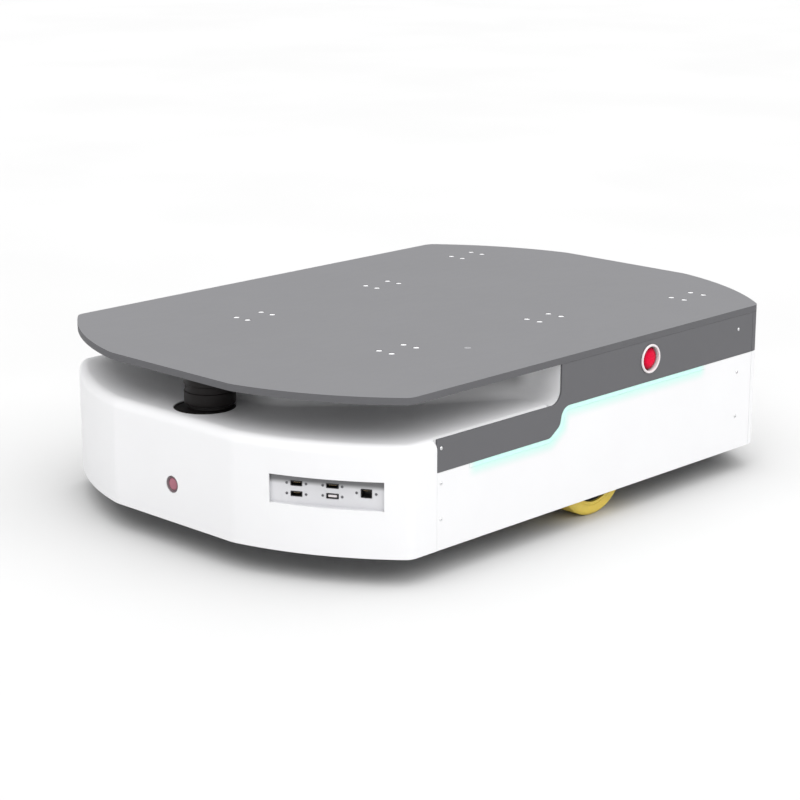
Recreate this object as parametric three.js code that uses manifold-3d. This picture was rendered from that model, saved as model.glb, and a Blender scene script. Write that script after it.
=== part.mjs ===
// Low platform robot: a flat load deck over a chassis with two driven wheels and four swivel casters.
// A slot round the nose lets a scanner look out under the deck. Covers hang from the chassis plate.
// Millimetres. +X is forward, +Y is left, +Z is up. The origin is on the floor under the middle.

import * as THREE from 'three';
import { mergeVertices } from 'three/addons/utils/BufferGeometryUtils.js';
import Module from 'manifold-3d';

const wasm = await Module();
wasm.setup();

// ---------------------------------------------------------------- driving dimensions

const GAP = 0.3;                 // between two pieces that touch

// body outline, seen from above, the same for the deck and the covers
const HALF_LENGTH = 500;
const HALF_WIDTH = 350;
const NOSE_HALF = 125;           // half of the straight end edge
const CHEEK_FRONT = 384;         // where a front corner face would reach the long side
const CHEEK_REAR = 390;          // the same at the rear
const CHEEK_R = 480;             // radius of a curved corner face
const NOSE_ROUND = 60;           // blend between the end edge and a corner face
const SIDE_ROUND = 20;           // blend between a corner face and the long side

// heights
const DECK_TOP = 262;
const DECK_THICK = 10;
const SLOT_FLOOR = 195;          // top of the nose cover, the floor of the scanner slot
const SKIRT_Z = 39.3;            // lower edge of every cover
const PLATE_Z = 102;             // underside of the chassis plate
const PLATE_THICK = 5;

// covers
const SKIN = 3;
const RIM_ROUND = 15;            // upper edge of the nose cover
const PANEL_FRONT = 334.5;
const PANEL_REAR = -378;
const SLOT_END = 79.5;           // rear end of the slot on the long sides
const SLOT_FILLET = 20;
const BAND_LOW = 148.8;          // lower edge of the band, forward
const BAND_HIGH = 189.6;         // lower edge of the band, aft
const STRIP_HEIGHT = 6;
const STRIP_FRONT = 270;
const STRIP_REAR = -258;

// load rails under the deck: [x, y] of a four-hole cluster, mirrored to the right
const CLUSTERS = { front: [205, 151], middle: [-91, 171], rear: [-363, 235] };
const CLUSTER_PITCH_X = 50;
const CLUSTER_PITCH_Y = 25;
const DECK_HOLE_R = 5;
const TAP_R = 2.5;
const BOSS_PLAY = 0.5;           // between a boss and its deck hole
const RAIL_THICK = 8;

// scanner
const SCANNER_X = 427;
const SCANNER_R = 36.5;
const FOOT_X = 437;
const FOOT_R = 44;

// service window in the left front corner face, in that face's own frame
const WINDOW_ANGLE = THREE.MathUtils.degToRad(29);
const WINDOW_CENTRE = [442.5, 245];
const WINDOW_T = 5;
const WINDOW_Z = 125.8;
const WINDOW_WIDTH = 160;
const WINDOW_HEIGHT = 40.5;
const WINDOW_DEPTH = 12.5;        // from the crown of the corner face to the panel
const FACE_CROWN = 13;           // how far the corner face bulges past WINDOW_CENTRE

// buttons
const ESTOP_X = -121.6;
const ESTOP_Z = 224;
const ESTOP_R = 21.8;
const CAP_R = 17;
const START_Z = 94.5;
const START_R = 12;

// wheels
const WHEEL_X = -30;
const WHEEL_R = 73;
const WHEEL_OUTER_Y = 325;
const WHEEL_WIDTH = 40;
const RIM_R = 52;
const CASTER_X = 320;
const CASTER_Y = 190;
const CASTER_R = 37.5;
const CASTER_TRAIL = 28;

const DECK_UNDER = DECK_TOP - DECK_THICK;
const COVER_TOP = DECK_UNDER - GAP;
const PLATE_TOP = PLATE_Z + PLATE_THICK;
const PANEL_BACK = HALF_WIDTH - SKIN;            // back face of the side sheets

// ---------------------------------------------------------------- materials

const finish = (color, roughness, metalness = 0) =>
  new THREE.MeshStandardMaterial({ color, roughness, metalness });

const DECK_GREY = finish(0x97979a, 0.6);
const BAND_GREY = finish(0x6f6f73, 0.6);
const WHITE = finish(0xf4f4f6, 0.35);
const PANEL_GREY = finish(0xcfcfd2, 0.5);
const BLACK = finish(0x1c1a1b, 0.45);
const STEEL = finish(0x8d9094, 0.4, 0.9);
const ALUMINIUM = finish(0xc9ccd0, 0.35, 0.9);
const RED = finish(0xd80f30, 0.35);
const YELLOW = finish(0xdcb64a, 0.55);
const CYAN = finish(0xd2fff5, 0.3);
const RUBBER = finish(0x33343a, 0.8);
const BLUE = finish(0x2b4d7a, 0.5);

// ---------------------------------------------------------------- solids

function toSolid(geometry) {
  const bare = geometry.clone();
  bare.deleteAttribute('normal');
  bare.deleteAttribute('uv');
  const merged = mergeVertices(bare, 1e-4);
  const index = merged.index.array;
  const kept = [];
  for (let i = 0; i < index.length; i += 3) {
    const [a, b, c] = [index[i], index[i + 1], index[i + 2]];
    if (a !== b && b !== c && c !== a) kept.push(a, b, c);
  }
  return new wasm.Manifold(new wasm.Mesh({
    numProp: 3,
    vertProperties: new Float32Array(merged.attributes.position.array),
    triVerts: new Uint32Array(kept),
  }));
}

function toGeometry(solid) {
  const { vertProperties, triVerts } = solid.getMesh();
  const geometry = new THREE.BufferGeometry();
  geometry.setAttribute('position', new THREE.Float32BufferAttribute(vertProperties, 3));
  geometry.setIndex(new THREE.Uint32BufferAttribute(triVerts, 1));
  geometry.computeVertexNormals();
  return geometry;
}

function join(...geometries) {
  const [first, ...rest] = geometries.map(toSolid);
  return toGeometry(rest.reduce((sum, next) => sum.add(next), first));
}

function cut(geometry, ...tools) {
  return toGeometry(tools.map(toSolid).reduce((left, tool) => left.subtract(tool), toSolid(geometry)));
}

function common(geometry, other) {
  return toGeometry(toSolid(geometry).intersect(toSolid(other)));
}

function box(x0, x1, y0, y1, z0, z1) {
  const geometry = new THREE.BoxGeometry(x1 - x0, y1 - y0, z1 - z0);
  return geometry.translate((x0 + x1) / 2, (y0 + y1) / 2, (z0 + z1) / 2);
}

// cylinder about +Z
function rod(radius, z0, z1, sides = 24) {
  const geometry = new THREE.CylinderGeometry(radius, radius, z1 - z0, sides);
  return geometry.rotateX(Math.PI / 2).translate(0, 0, (z0 + z1) / 2);
}

// turned piece about +Z; the profile runs [radius, height] anticlockwise, closed on itself or on the axis
function turned(profile, sides = 32) {
  const closed = profile[0][0] === 0 ? profile : [...profile, profile[0]];
  const points = closed.map(([radius, height]) => new THREE.Vector2(radius, height));
  return new THREE.LatheGeometry(points, sides).rotateX(Math.PI / 2);
}

// turned piece about +Y, for wheels
const turnedAboutY = (profile, sides) => turned(profile, sides).rotateX(-Math.PI / 2);

function prism(points, z0, z1, holes = []) {
  const shape = new THREE.Shape(points);
  holes.forEach((hole) => shape.holes.push(new THREE.Path(hole)));
  const geometry = new THREE.ExtrudeGeometry(shape, { depth: z1 - z0, bevelEnabled: false });
  return geometry.translate(0, 0, z0);
}

// a sheet in the XZ plane, between two values of y
function sheet(points, y0, y1, holes = []) {
  return prism(points, -y1, -y0, holes).rotateX(Math.PI / 2);
}

function circle(x, y, radius, sides = 16) {
  const path = new THREE.Path().absarc(x, y, radius, 0, 2 * Math.PI);
  return path.getPoints(sides / 2).slice(0, -1);
}

// closed solid through rings of matching points: [{ points, z }, ...] from low to high
function loft(rings) {
  const count = rings[0].points.length;
  const positions = rings.flatMap(({ points, z }) => points.flatMap((p) => [p.x, p.y, z]));
  const index = [];
  for (let ring = 0; ring + 1 < rings.length; ring += 1) {
    for (let i = 0; i < count; i += 1) {
      const a = ring * count + i;
      const b = ring * count + ((i + 1) % count);
      index.push(a, b, b + count, a, b + count, a + count);
    }
  }
  const top = (rings.length - 1) * count;
  for (const [a, b, c] of THREE.ShapeUtils.triangulateShape(rings[0].points, [])) index.push(a, c, b);
  for (const [a, b, c] of THREE.ShapeUtils.triangulateShape(rings.at(-1).points, [])) {
    index.push(top + a, top + b, top + c);
  }
  const geometry = new THREE.BufferGeometry();
  geometry.setAttribute('position', new THREE.Float32BufferAttribute(positions, 3));
  geometry.setIndex(index);
  return geometry;
}

function mirrored(geometry) {
  const copy = geometry.index ? geometry.clone() : mergeVertices(geometry.clone());
  copy.scale(1, -1, 1);
  const index = copy.index.array;
  for (let i = 0; i < index.length; i += 3) [index[i], index[i + 2]] = [index[i + 2], index[i]];
  return copy;
}

// ---------------------------------------------------------------- outlines

function arc(cx, cy, radius, from, to, steps) {
  return Array.from({ length: steps + 1 }, (_, i) => {
    const angle = from + ((to - from) * i) / steps;
    return new THREE.Vector2(cx + radius * Math.cos(angle), cy + radius * Math.sin(angle));
  });
}

// centre of a curved corner face, from its two ends on the body's edges
function cheekCentre(sideEnd) {
  const dx = HALF_LENGTH - sideEnd;
  const dy = HALF_WIDTH - NOSE_HALF;
  const half = Math.hypot(dx, dy) / 2;
  const back = Math.sqrt(CHEEK_R ** 2 - half ** 2) / (2 * half);
  return [(HALF_LENGTH + sideEnd) / 2 - dy * back, (HALF_WIDTH + NOSE_HALF) / 2 - dx * back];
}

// one quarter of the body outline, from the end edge round to the long side
function cornerPoints(inset, sideEnd) {
  const [cx, cy] = cheekCentre(sideEnd);
  const radius = CHEEK_R - inset;
  const nose = NOSE_ROUND - inset;
  const side = Math.max(SIDE_ROUND - inset, 1);
  const noseX = HALF_LENGTH - inset - nose;
  const noseY = cy + Math.sqrt((radius - nose) ** 2 - (noseX - cx) ** 2);
  const sideY = HALF_WIDTH - inset - side;
  const sideX = cx + Math.sqrt((radius - side) ** 2 - (sideY - cy) ** 2);
  const first = Math.atan2(noseY - cy, noseX - cx);
  const last = Math.atan2(sideY - cy, sideX - cx);
  return [
    ...arc(noseX, noseY, nose, 0, first, 3),
    ...arc(cx, cy, radius, first, last, 8).slice(1, -1),
    ...arc(sideX, sideY, side, last, Math.PI / 2, 4),
  ];
}

function bodyOutline(inset = 0) {
  const front = cornerPoints(inset, CHEEK_FRONT);
  const rear = cornerPoints(inset, CHEEK_REAR);
  const flipped = (quarter, sx, sy) => quarter.map((p) => new THREE.Vector2(sx * p.x, sy * p.y));
  return [
    ...front,
    ...flipped(rear, -1, 1).reverse(),
    ...flipped(rear, -1, -1),
    ...flipped(front, 1, -1).reverse(),
  ];
}

// rounded polygon, anticlockwise, pushed out by grow: corners are [x, y, radius]
function rounded(corners, grow = 0, steps = 4) {
  const count = corners.length;
  const direction = (i) => {
    const [ax, ay] = corners[i % count];
    const [bx, by] = corners[(i + 1) % count];
    return new THREE.Vector2(bx - ax, by - ay).normalize();
  };
  return corners.flatMap(([x, y, r = 0], i) => {
    const before = direction(i + count - 1);
    const after = direction(i);
    const turn = before.cross(after);
    const radius = Math.max(turn > 0 ? r + grow : r - grow, 0);
    const half = Math.acos(THREE.MathUtils.clamp(before.dot(after), -1, 1)) / 2;
    const out = new THREE.Vector2(before.y + after.y, -before.x - after.x).normalize();
    const corner = new THREE.Vector2(x, y).addScaledVector(out, grow / Math.cos(half));
    if (r === 0) return [corner];
    const side = Math.sign(turn);
    const centre = corner.clone().addScaledVector(out, (-side * radius) / Math.cos(half));
    const middle = Math.atan2(side * out.y, side * out.x);
    return arc(centre.x, centre.y, radius, middle - side * half, middle + side * half, steps);
  });
}

// shoulder of the pillar behind the scanner: it keeps out of a 270 degree view from SCANNER_X
function pillarOutline(grow) {
  const half = [[360, 62, 30], [240, 181, 80], [SLOT_END + GAP, 285, 45], [SLOT_END + GAP, 360]];
  const right = half.map(([x, y, r]) => [x, -y, r]).reverse();
  return rounded([[40, -360], ...right, ...half, [40, 360]], grow);
}

// lower edge of the band, front to rear, drop millimetres below it
function bandLowerEdge(drop, front, rear) {
  const corners = [
    [front, BAND_LOW], [103, BAND_LOW, 12], [82, 163, 14], [75.5, BAND_HIGH, 18], [rear, BAND_HIGH],
    [rear, 400], [front, 400],
  ];
  const edge = rounded(corners.reverse(), drop).reverse();
  return edge.filter((p) => p.y < 300).map((p) => new THREE.Vector2(
    THREE.MathUtils.clamp(p.x, rear, front), p.y,
  ));
}

// ---------------------------------------------------------------- assembly

const group = new THREE.Group();

function addPiece(parent, name, geometry, material, position = [0, 0, 0]) {
  const mesh = new THREE.Mesh(geometry, material);
  mesh.name = name;
  mesh.position.set(...position);
  parent.add(mesh);
  return mesh;
}

// a piece and its mirror image on the right
function addPair(name, geometry, material) {
  addPiece(group, `${name}_left`, geometry, material);
  addPiece(group, `${name}_right`, mirrored(geometry), material);
}

// ---------------------------------------------------------------- deck

function clusterHoles([x, y], radius) {
  const holes = [];
  for (const sx of [-1, 1]) {
    for (const sy of [-1, 1]) {
      for (const side of [-1, 1]) {
        holes.push([x + (sx * CLUSTER_PITCH_X) / 2, side * (y + (sy * CLUSTER_PITCH_Y) / 2), radius]);
      }
    }
  }
  return holes;
}

function addDeck() {
  const holes = Object.values(CLUSTERS)
    .flatMap((cluster) => clusterHoles(cluster, DECK_HOLE_R))
    .map(([x, y, r]) => circle(x, y, r, 10));
  addPiece(group, 'deck_plate', prism(bodyOutline(), DECK_UNDER, DECK_TOP, holes), DECK_GREY);
}

// bar under the deck with a tapped boss standing in each deck hole
function loadRail(cluster) {
  const [x, y] = cluster;
  const margin = 8;
  const halfX = CLUSTER_PITCH_X / 2 + margin;
  const halfY = y + CLUSTER_PITCH_Y / 2 + margin;
  const top = DECK_UNDER - GAP;
  const bar = box(x - halfX, x + halfX, -halfY, halfY, top - RAIL_THICK, top);
  const holes = clusterHoles(cluster, DECK_HOLE_R);
  const bosses = holes.map(([hx, hy, r]) =>
    rod(r - BOSS_PLAY, top - 1, DECK_TOP - GAP, 10).translate(hx, hy, 0));
  const taps = holes.map(([hx, hy]) => rod(TAP_R, top - 20, DECK_TOP + 5, 6).translate(hx, hy, 0));
  return cut(join(bar, ...bosses), ...taps);
}

function addLoadRails() {
  for (const [name, cluster] of Object.entries(CLUSTERS)) {
    addPiece(group, `load_rail_${name}`, loadRail(cluster), ALUMINIUM);
  }
}

// ---------------------------------------------------------------- chassis

const WHEEL_BAY = [WHEEL_X - 86, WHEEL_X + 86];

function addChassisPlate() {
  const plate = prism(bodyOutline(SKIN + 3.5), PLATE_Z, PLATE_TOP);
  const bayInner = WHEEL_OUTER_Y - WHEEL_WIDTH - 7;
  const bays = [[bayInner, 400], [-400, -bayInner]].map(([y0, y1]) =>
    box(...WHEEL_BAY, y0, y1, PLATE_Z - 5, PLATE_TOP + 5));
  const buttonBay = box(460, 510, -20, 20, PLATE_Z - 5, PLATE_TOP + 5);
  const windowBay = onCornerFace(
    box(-92, 92, -30, 40, PLATE_Z - 5, PLATE_TOP + 5).translate(-WINDOW_T, 0, 0),
  );
  addPiece(group, 'chassis_plate', cut(plate, ...bays, buttonBay, windowBay), STEEL);
}

// folded channel that carries the deck and the side sheets: a web with a flange top and bottom
function sideFrame() {
  const web = [HALF_WIDTH - 12, HALF_WIDTH - 9];
  const reach = HALF_WIDTH - 38;
  const [x0, x1] = [-366, SLOT_END - 8];
  const low = PLATE_TOP + GAP;
  const channel = join(
    box(x0, x1, ...web, low, COVER_TOP),
    box(x0, x1, reach, web[1], COVER_TOP - SKIN, COVER_TOP),
    box(x0, x1, reach, web[1], low, low + SKIN),
  );
  const bay = box(...WHEEL_BAY, reach - 10, web[0] - 1, low - 5, low + 10);
  const buttonHole = rod(ESTOP_R + 3, 0, 100, 20).rotateX(-Math.PI / 2)
    .translate(ESTOP_X, HALF_WIDTH - 60, ESTOP_Z);
  return cut(channel, bay, buttonHole);
}

function addFrames() {
  addPair('side_frame', sideFrame(), STEEL);
  addPair('deck_post', box(190, 220, 70, 100, PLATE_TOP + GAP, COVER_TOP - RAIL_THICK - GAP), STEEL);
  const low = PLATE_TOP + GAP;
  const railUnder = COVER_TOP - RAIL_THICK - GAP;
  const rearWall = join(
    box(-372, -369, -290, 290, low, railUnder),
    box(-372, -340, -290, 290, low, low + SKIN),
  );
  addPiece(group, 'rear_frame', rearWall, STEEL);
}

// ---------------------------------------------------------------- nose cover

// body-shaped solid with a rounded upper edge
function domedBody(inset, low, high, round, steps = 4) {
  const rings = [{ points: bodyOutline(inset), z: low }];
  for (let i = 0; i <= steps; i += 1) {
    const angle = (Math.PI / 2) * (i / steps);
    rings.push({
      points: bodyOutline(inset + round * (1 - Math.cos(angle))),
      z: high - round * (1 - Math.sin(angle)),
    });
  }
  return loft(rings);
}

// pillar with a hollow fillet where it stands on the slot floor
function pillarBody(low, high, steps = 4) {
  const rings = [{ points: pillarOutline(SLOT_FILLET), z: low }];
  for (let i = 0; i <= steps; i += 1) {
    const angle = (Math.PI / 2) * (i / steps);
    rings.push({
      points: pillarOutline(SLOT_FILLET * (1 - Math.sin(angle))),
      z: SLOT_FLOOR + SLOT_FILLET * (1 - Math.cos(angle)),
    });
  }
  rings.push({ points: pillarOutline(0), z: high });
  return loft(rings);
}

// move a tool made in the frame of the left front corner face into place:
// its X is along the face, its Y points out and its Z is up
function onCornerFace(geometry) {
  geometry.rotateZ(WINDOW_ANGLE - Math.PI / 2);
  return geometry.translate(...WINDOW_CENTRE, 0);
}

function noseCover() {
  const outer = domedBody(0, SKIRT_Z, SLOT_FLOOR, RIM_ROUND);
  const inner = domedBody(SKIN, SKIRT_Z - 5, SLOT_FLOOR - SKIN, RIM_ROUND - SKIN);
  const backFace = SLOT_END + GAP - SKIN;
  const flange = (y0, y1) => box(SLOT_END + GAP, PANEL_FRONT + 2, y0, y1, BAND_LOW, SLOT_FLOOR - 1);
  const sheetZone = (y0, y1) => box(-600, PANEL_FRONT + GAP, y0, y1, 0, 400);
  const edge = PANEL_BACK - GAP;
  const shell = cut(outer, inner);
  const walls = join(shell, flange(edge - SKIN, edge), flange(-edge, SKIN - edge),
    pillarBody(SLOT_FLOOR - 1, COVER_TOP));
  const hollow = prism(pillarOutline(-SKIN), 120, 270);
  const windowTool = onCornerFace(box(-WINDOW_WIDTH / 2, WINDOW_WIDTH / 2, -30, 40,
    WINDOW_Z - WINDOW_HEIGHT / 2, WINDOW_Z + WINDOW_HEIGHT / 2).translate(-WINDOW_T, 0, 0));
  return cut(walls, hollow, box(-600, backFace, -400, 400, 0, 400),
    sheetZone(edge, 400), sheetZone(-400, -edge),
    rod(FOOT_R, 150, 200, 40).translate(FOOT_X, 0, 0),
    rod(START_R + GAP, 0, 40, 24).rotateY(Math.PI / 2).translate(HALF_LENGTH - 20, 0, START_Z),
    windowTool);
}

// ---------------------------------------------------------------- other covers

function rearCover(low, high) {
  const wall = cut(
    prism(bodyOutline(0), low, high),
    prism(bodyOutline(SKIN), low - 5, high + 5),
  );
  return cut(wall, box(PANEL_REAR - GAP, 600, -400, 400, 0, 400));
}

function sideBand() {
  const lower = bandLowerEdge(0, PANEL_FRONT, PANEL_REAR);
  const notch = rounded([[PANEL_FRONT, 400], [SLOT_END, 400], [SLOT_END, SLOT_FLOOR + 0.2, SLOT_FILLET],
    [PANEL_FRONT, SLOT_FLOOR + 0.2]]).filter((p) => p.y < 300);
  const outline = [new THREE.Vector2(PANEL_REAR, COVER_TOP), ...lower.reverse(), ...notch.reverse(),
    new THREE.Vector2(SLOT_END, COVER_TOP)];
  const button = circle(ESTOP_X, ESTOP_Z, ESTOP_R - 2, 28);
  return sheet(outline, PANEL_BACK, HALF_WIDTH, [button]);
}

function sidePanel() {
  const deep = STRIP_HEIGHT + 2 * GAP;
  const strip = bandLowerEdge(deep, STRIP_FRONT + GAP, STRIP_REAR - GAP);
  const front = [[PANEL_FRONT, BAND_LOW - GAP], [STRIP_FRONT + GAP, BAND_LOW - GAP]];
  const rear = [[STRIP_REAR - GAP, BAND_HIGH - GAP], [PANEL_REAR, BAND_HIGH - GAP]];
  const corner = ([x, z]) => new THREE.Vector2(x, z);
  const outline = [...front.map(corner), ...strip, ...rear.map(corner),
    corner([PANEL_REAR, SKIRT_Z]), corner([PANEL_FRONT, SKIRT_Z])];
  return sheet(outline, PANEL_BACK, HALF_WIDTH);
}

function lightStrip() {
  const upper = bandLowerEdge(GAP, STRIP_FRONT, STRIP_REAR);
  const lower = bandLowerEdge(GAP + STRIP_HEIGHT, STRIP_FRONT, STRIP_REAR);
  return sheet([...upper, ...lower.reverse()], PANEL_BACK, HALF_WIDTH);
}

function addCovers() {
  addPiece(group, 'nose_cover', noseCover(), WHITE);
  const portTool = box(-600, -400, -62, 62, 62, 98);
  addPiece(group, 'rear_cover', cut(rearCover(SKIRT_Z, BAND_HIGH - GAP), portTool), WHITE);
  addPiece(group, 'rear_band', rearCover(BAND_HIGH, COVER_TOP), BAND_GREY);
  addPair('side_band', sideBand(), BAND_GREY);
  addPair('side_panel', sidePanel(), WHITE);
  addPair('light_strip', lightStrip(), CYAN);
}

// ---------------------------------------------------------------- buttons

// emergency stop, made facing +Y with its axis through the origin and the sheet's face at y = 0
function emergencyStop() {
  const collar = turnedAboutY([
    [ESTOP_R - 3.3, -16], [ESTOP_R - 2.3, -16], [ESTOP_R - 2.3, 0.3], [ESTOP_R, 0.3],
    [ESTOP_R, 1.5], [ESTOP_R - 0.8, 2.3], [ESTOP_R - 3.3, 2.3],
  ], 24);
  const block = cut(
    turnedAboutY([[0, -52], [15, -52], [15, -17], [ESTOP_R - 2.3, -17], [ESTOP_R - 2.3, -15],
      [0, -15]], 24),
    turnedAboutY([[0, -40], [7.5, -40], [7.5, 0], [0, 0]], 16),
  );
  const stem = turnedAboutY([[0, -34], [7, -34], [7, -15], [5, -15], [5, -8], [0, -8]], 12);
  const cap = cut(
    turnedAboutY([[0, -10], [CAP_R - 1, -10], [CAP_R, -9], [CAP_R, -3.5], [CAP_R - 2, -1.2],
      [CAP_R - 8, 0.2], [0, 0.8]], 24),
    turnedAboutY([[0, -12], [5.3, -12], [5.3, -7.7], [0, -7.7]], 12),
  );
  return { body: join(collar, block), stem, cap };
}

function addEmergencyStops() {
  const stop = emergencyStop();
  for (const [side, sign] of [['left', 1], ['right', -1]]) {
    const face = new THREE.Group();
    face.position.set(ESTOP_X, sign * HALF_WIDTH, ESTOP_Z);
    face.rotation.z = sign > 0 ? 0 : Math.PI;
    group.add(face);
    addPiece(face, `stop_body_${side}`, stop.body, WHITE);
    addPiece(face, `stop_stem_${side}`, stop.stem, BLACK);
    addPiece(face, `stop_cap_${side}`, stop.cap, RED);
  }
}

// start button, made facing +Z with the cover's face at z = 0
function addStartButton() {
  const face = new THREE.Group();
  face.position.set(HALF_LENGTH, 0, START_Z);
  face.rotation.y = Math.PI / 2;
  group.add(face);
  const bezel = turned([
    [0, -30], [9.5, -30], [9.5, -6], [START_R, -6], [START_R, -1], [START_R - 1, 0], [9, -1.5],
    [9, -9], [4.3, -9], [4.3, -25], [0, -25],
  ], 20);
  const cap = turned([[0, -22], [4, -22], [4, -6.5], [8.7, -6.5], [8.7, -2.2], [8, -1.5], [0, -1.1]], 20);
  addPiece(face, 'start_bezel', bezel, BLACK);
  addPiece(face, 'start_button', cap, RED);
}

// ---------------------------------------------------------------- service window

// the window's own group: X along the face, Y out of it, Z up, origin in the middle of the panel's face
function windowGroup() {
  const frame = new THREE.Group();
  const depth = FACE_CROWN - WINDOW_DEPTH;
  const [x, y] = WINDOW_CENTRE;
  const [c, s] = [Math.cos(WINDOW_ANGLE), Math.sin(WINDOW_ANGLE)];
  frame.position.set(x + depth * c - WINDOW_T * s, y + depth * s + WINDOW_T * c, WINDOW_Z);
  frame.rotation.z = WINDOW_ANGLE - Math.PI / 2;
  frame.updateMatrix();
  group.add(frame);
  return frame;
}

// sockets on the panel: name, x, z, width, height of the shell that shows
const SOCKETS = [
  ['usb_socket_upper', 43.3, 7.7, 16.5, 7.4],
  ['usb_socket_lower', 43.3, -6.9, 16.5, 7.4],
  ['video_socket', -6.9, 7.9, 17.5, 6.8],
  ['serial_socket', -6.9, -6.2, 17.5, 7.6],
  ['network_socket', -53.8, 1.2, 15.6, 12.4],
];

// tray whose walls run out to the back of the nose cover, with a hole for every socket
function servicePanel(frame) {
  const [halfW, halfH] = [WINDOW_WIDTH / 2, WINDOW_HEIGHT / 2];
  const tray = cut(
    box(-halfW - 3, halfW + 3, -2, 15, -halfH - 3, halfH + 3),
    box(-halfW, halfW, 0, 20, -halfH, halfH),
  ).applyMatrix4(frame.matrix);
  const room = domedBody(SKIN + GAP, SKIRT_Z, SLOT_FLOOR, RIM_ROUND);
  const fitted = common(tray, room).applyMatrix4(frame.matrix.clone().invert());
  return cut(fitted, ...SOCKETS.map(([, x, z, w, h]) =>
    box(x - w / 2, x + w / 2, -5, 5, z - h / 2, z + h / 2)));
}

// a metal-shelled socket: an open-fronted box with a tongue inside
function socket(width, height) {
  const [w, h] = [width / 2 - GAP, height / 2 - GAP];
  const shell = cut(
    join(box(-w, w, -16, 0.8, -h, h), box(-w - 2, w + 2, -16, -2 - GAP, -h - 1, h + 1)),
    box(-w + 0.8, w - 0.8, -13, 5, -h + 0.8, h - 0.8),
  );
  const tongue = box(-w + 2.5, w - 2.5, -14, -1.5, h - 2.3, h - 1.3);
  return join(shell, tongue);
}

function addServiceWindow() {
  const frame = windowGroup();
  addPiece(frame, 'service_panel', servicePanel(frame), PANEL_GREY);
  for (const [name, x, z, width, height] of SOCKETS) {
    addPiece(frame, name, socket(width, height), name === 'serial_socket' ? ALUMINIUM : BLACK, [x, 0, z]);
  }
}

// ---------------------------------------------------------------- scanner

// fixed foot let into the slot floor, with a bore for the head's shaft
function scannerFoot() {
  const [rim, under, top] = [FOOT_R - GAP, SLOT_FLOOR - SKIN - GAP, SLOT_FLOOR - 1];
  const foot = turned([
    [0, 158], [38, 158], [38, under - 5], [rim + 5, under - 5], [rim + 5, under - 1],
    [rim, under - 1], [rim, top - 1], [rim - 1, top], [0, top],
  ], 32).translate(FOOT_X, 0, 0);
  return cut(foot, rod(6.3, 165, 210, 16).translate(SCANNER_X, 0, 0));
}

function addScanner() {
  const top = SLOT_FLOOR - 1;
  const neck = top + GAP;
  addPiece(group, 'scanner_foot', scannerFoot(), BLACK);
  const collar = turned([[6.3, neck], [31, neck], [31, neck + 5], [6.3, neck + 5]], 28);
  addPiece(group, 'scanner_collar', collar, BLACK, [SCANNER_X, 0, 0]);
  const head = turned([
    [0, 168], [5.7, 168], [5.7, 200], [SCANNER_R - 1, 200], [SCANNER_R, 201], [SCANNER_R, 218],
    [SCANNER_R - 1.5, 219], [SCANNER_R - 1.5, 227], [SCANNER_R, 228], [SCANNER_R, 243],
    [SCANNER_R - 2, 245], [0, 245],
  ], 32);
  addPiece(group, 'scanner_head', head, BLACK, [SCANNER_X, 0, 0]);
}

// ---------------------------------------------------------------- drive

// driven wheel, made with its outer face at y = 0 and its axle on the Y axis
function driveTyre() {
  return turnedAboutY([
    [RIM_R + GAP, -WHEEL_WIDTH], [WHEEL_R - 3, -WHEEL_WIDTH], [WHEEL_R, 3 - WHEEL_WIDTH],
    [WHEEL_R, -3], [WHEEL_R - 3, 0], [RIM_R + GAP, 0],
  ], 40);
}

// wheel centre with its shaft, which runs into the gearbox
function driveHub() {
  const hub = turnedAboutY([
    [0, -70], [8, -70], [8, -36], [20, -36], [20, -22], [RIM_R - 5, -22], [RIM_R - 5, -38],
    [RIM_R, -38], [RIM_R, -2], [RIM_R - 8, -12], [24, -12], [20, -4], [0, -4],
  ], 24);
  const bolts = Array.from({ length: 5 }, (_, i) => rod(3.2, -60, 20, 6).rotateX(-Math.PI / 2)
    .translate(34, 0, 0).rotateY((2 * Math.PI * i) / 5));
  return cut(hub, ...bolts);
}

// motor and gearbox in one line, with the shaft's bore facing +Y
function gearmotor() {
  return turnedAboutY([
    [0, -205], [24, -205], [27, -202], [27, -128], [23, -126], [23, -60], [21, -60], [21, -52],
    [8.3, -52], [8.3, -72], [0, -72],
  ], 20);
}

function driveBracket() {
  const under = PLATE_Z - GAP - WHEEL_R;
  const hanger = join(
    box(-42, 42, -59.7, -53.7, -34, under),
    box(-42, 42, -125, -53.7, under - 5, under),
  );
  return cut(hanger, rod(21.4, 0, 100, 24).rotateX(-Math.PI / 2).translate(0, -90, 0),
    box(-23.3, 23.3, -130, -60, -30, 23.3));
}

function addDrives() {
  const pieces = [['drive_tyre', driveTyre(), YELLOW], ['drive_hub', driveHub(), BLACK],
    ['gearmotor', gearmotor(), STEEL], ['drive_bracket', driveBracket(), ALUMINIUM]];
  for (const [side, sign] of [['left', 1], ['right', -1]]) {
    const axle = new THREE.Group();
    axle.position.set(WHEEL_X, sign * WHEEL_OUTER_Y, WHEEL_R);
    axle.rotation.z = sign > 0 ? 0 : Math.PI;
    group.add(axle);
    for (const [name, geometry, material] of pieces) addPiece(axle, `${name}_${side}`, geometry, material);
  }
}

// ---------------------------------------------------------------- casters

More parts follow.
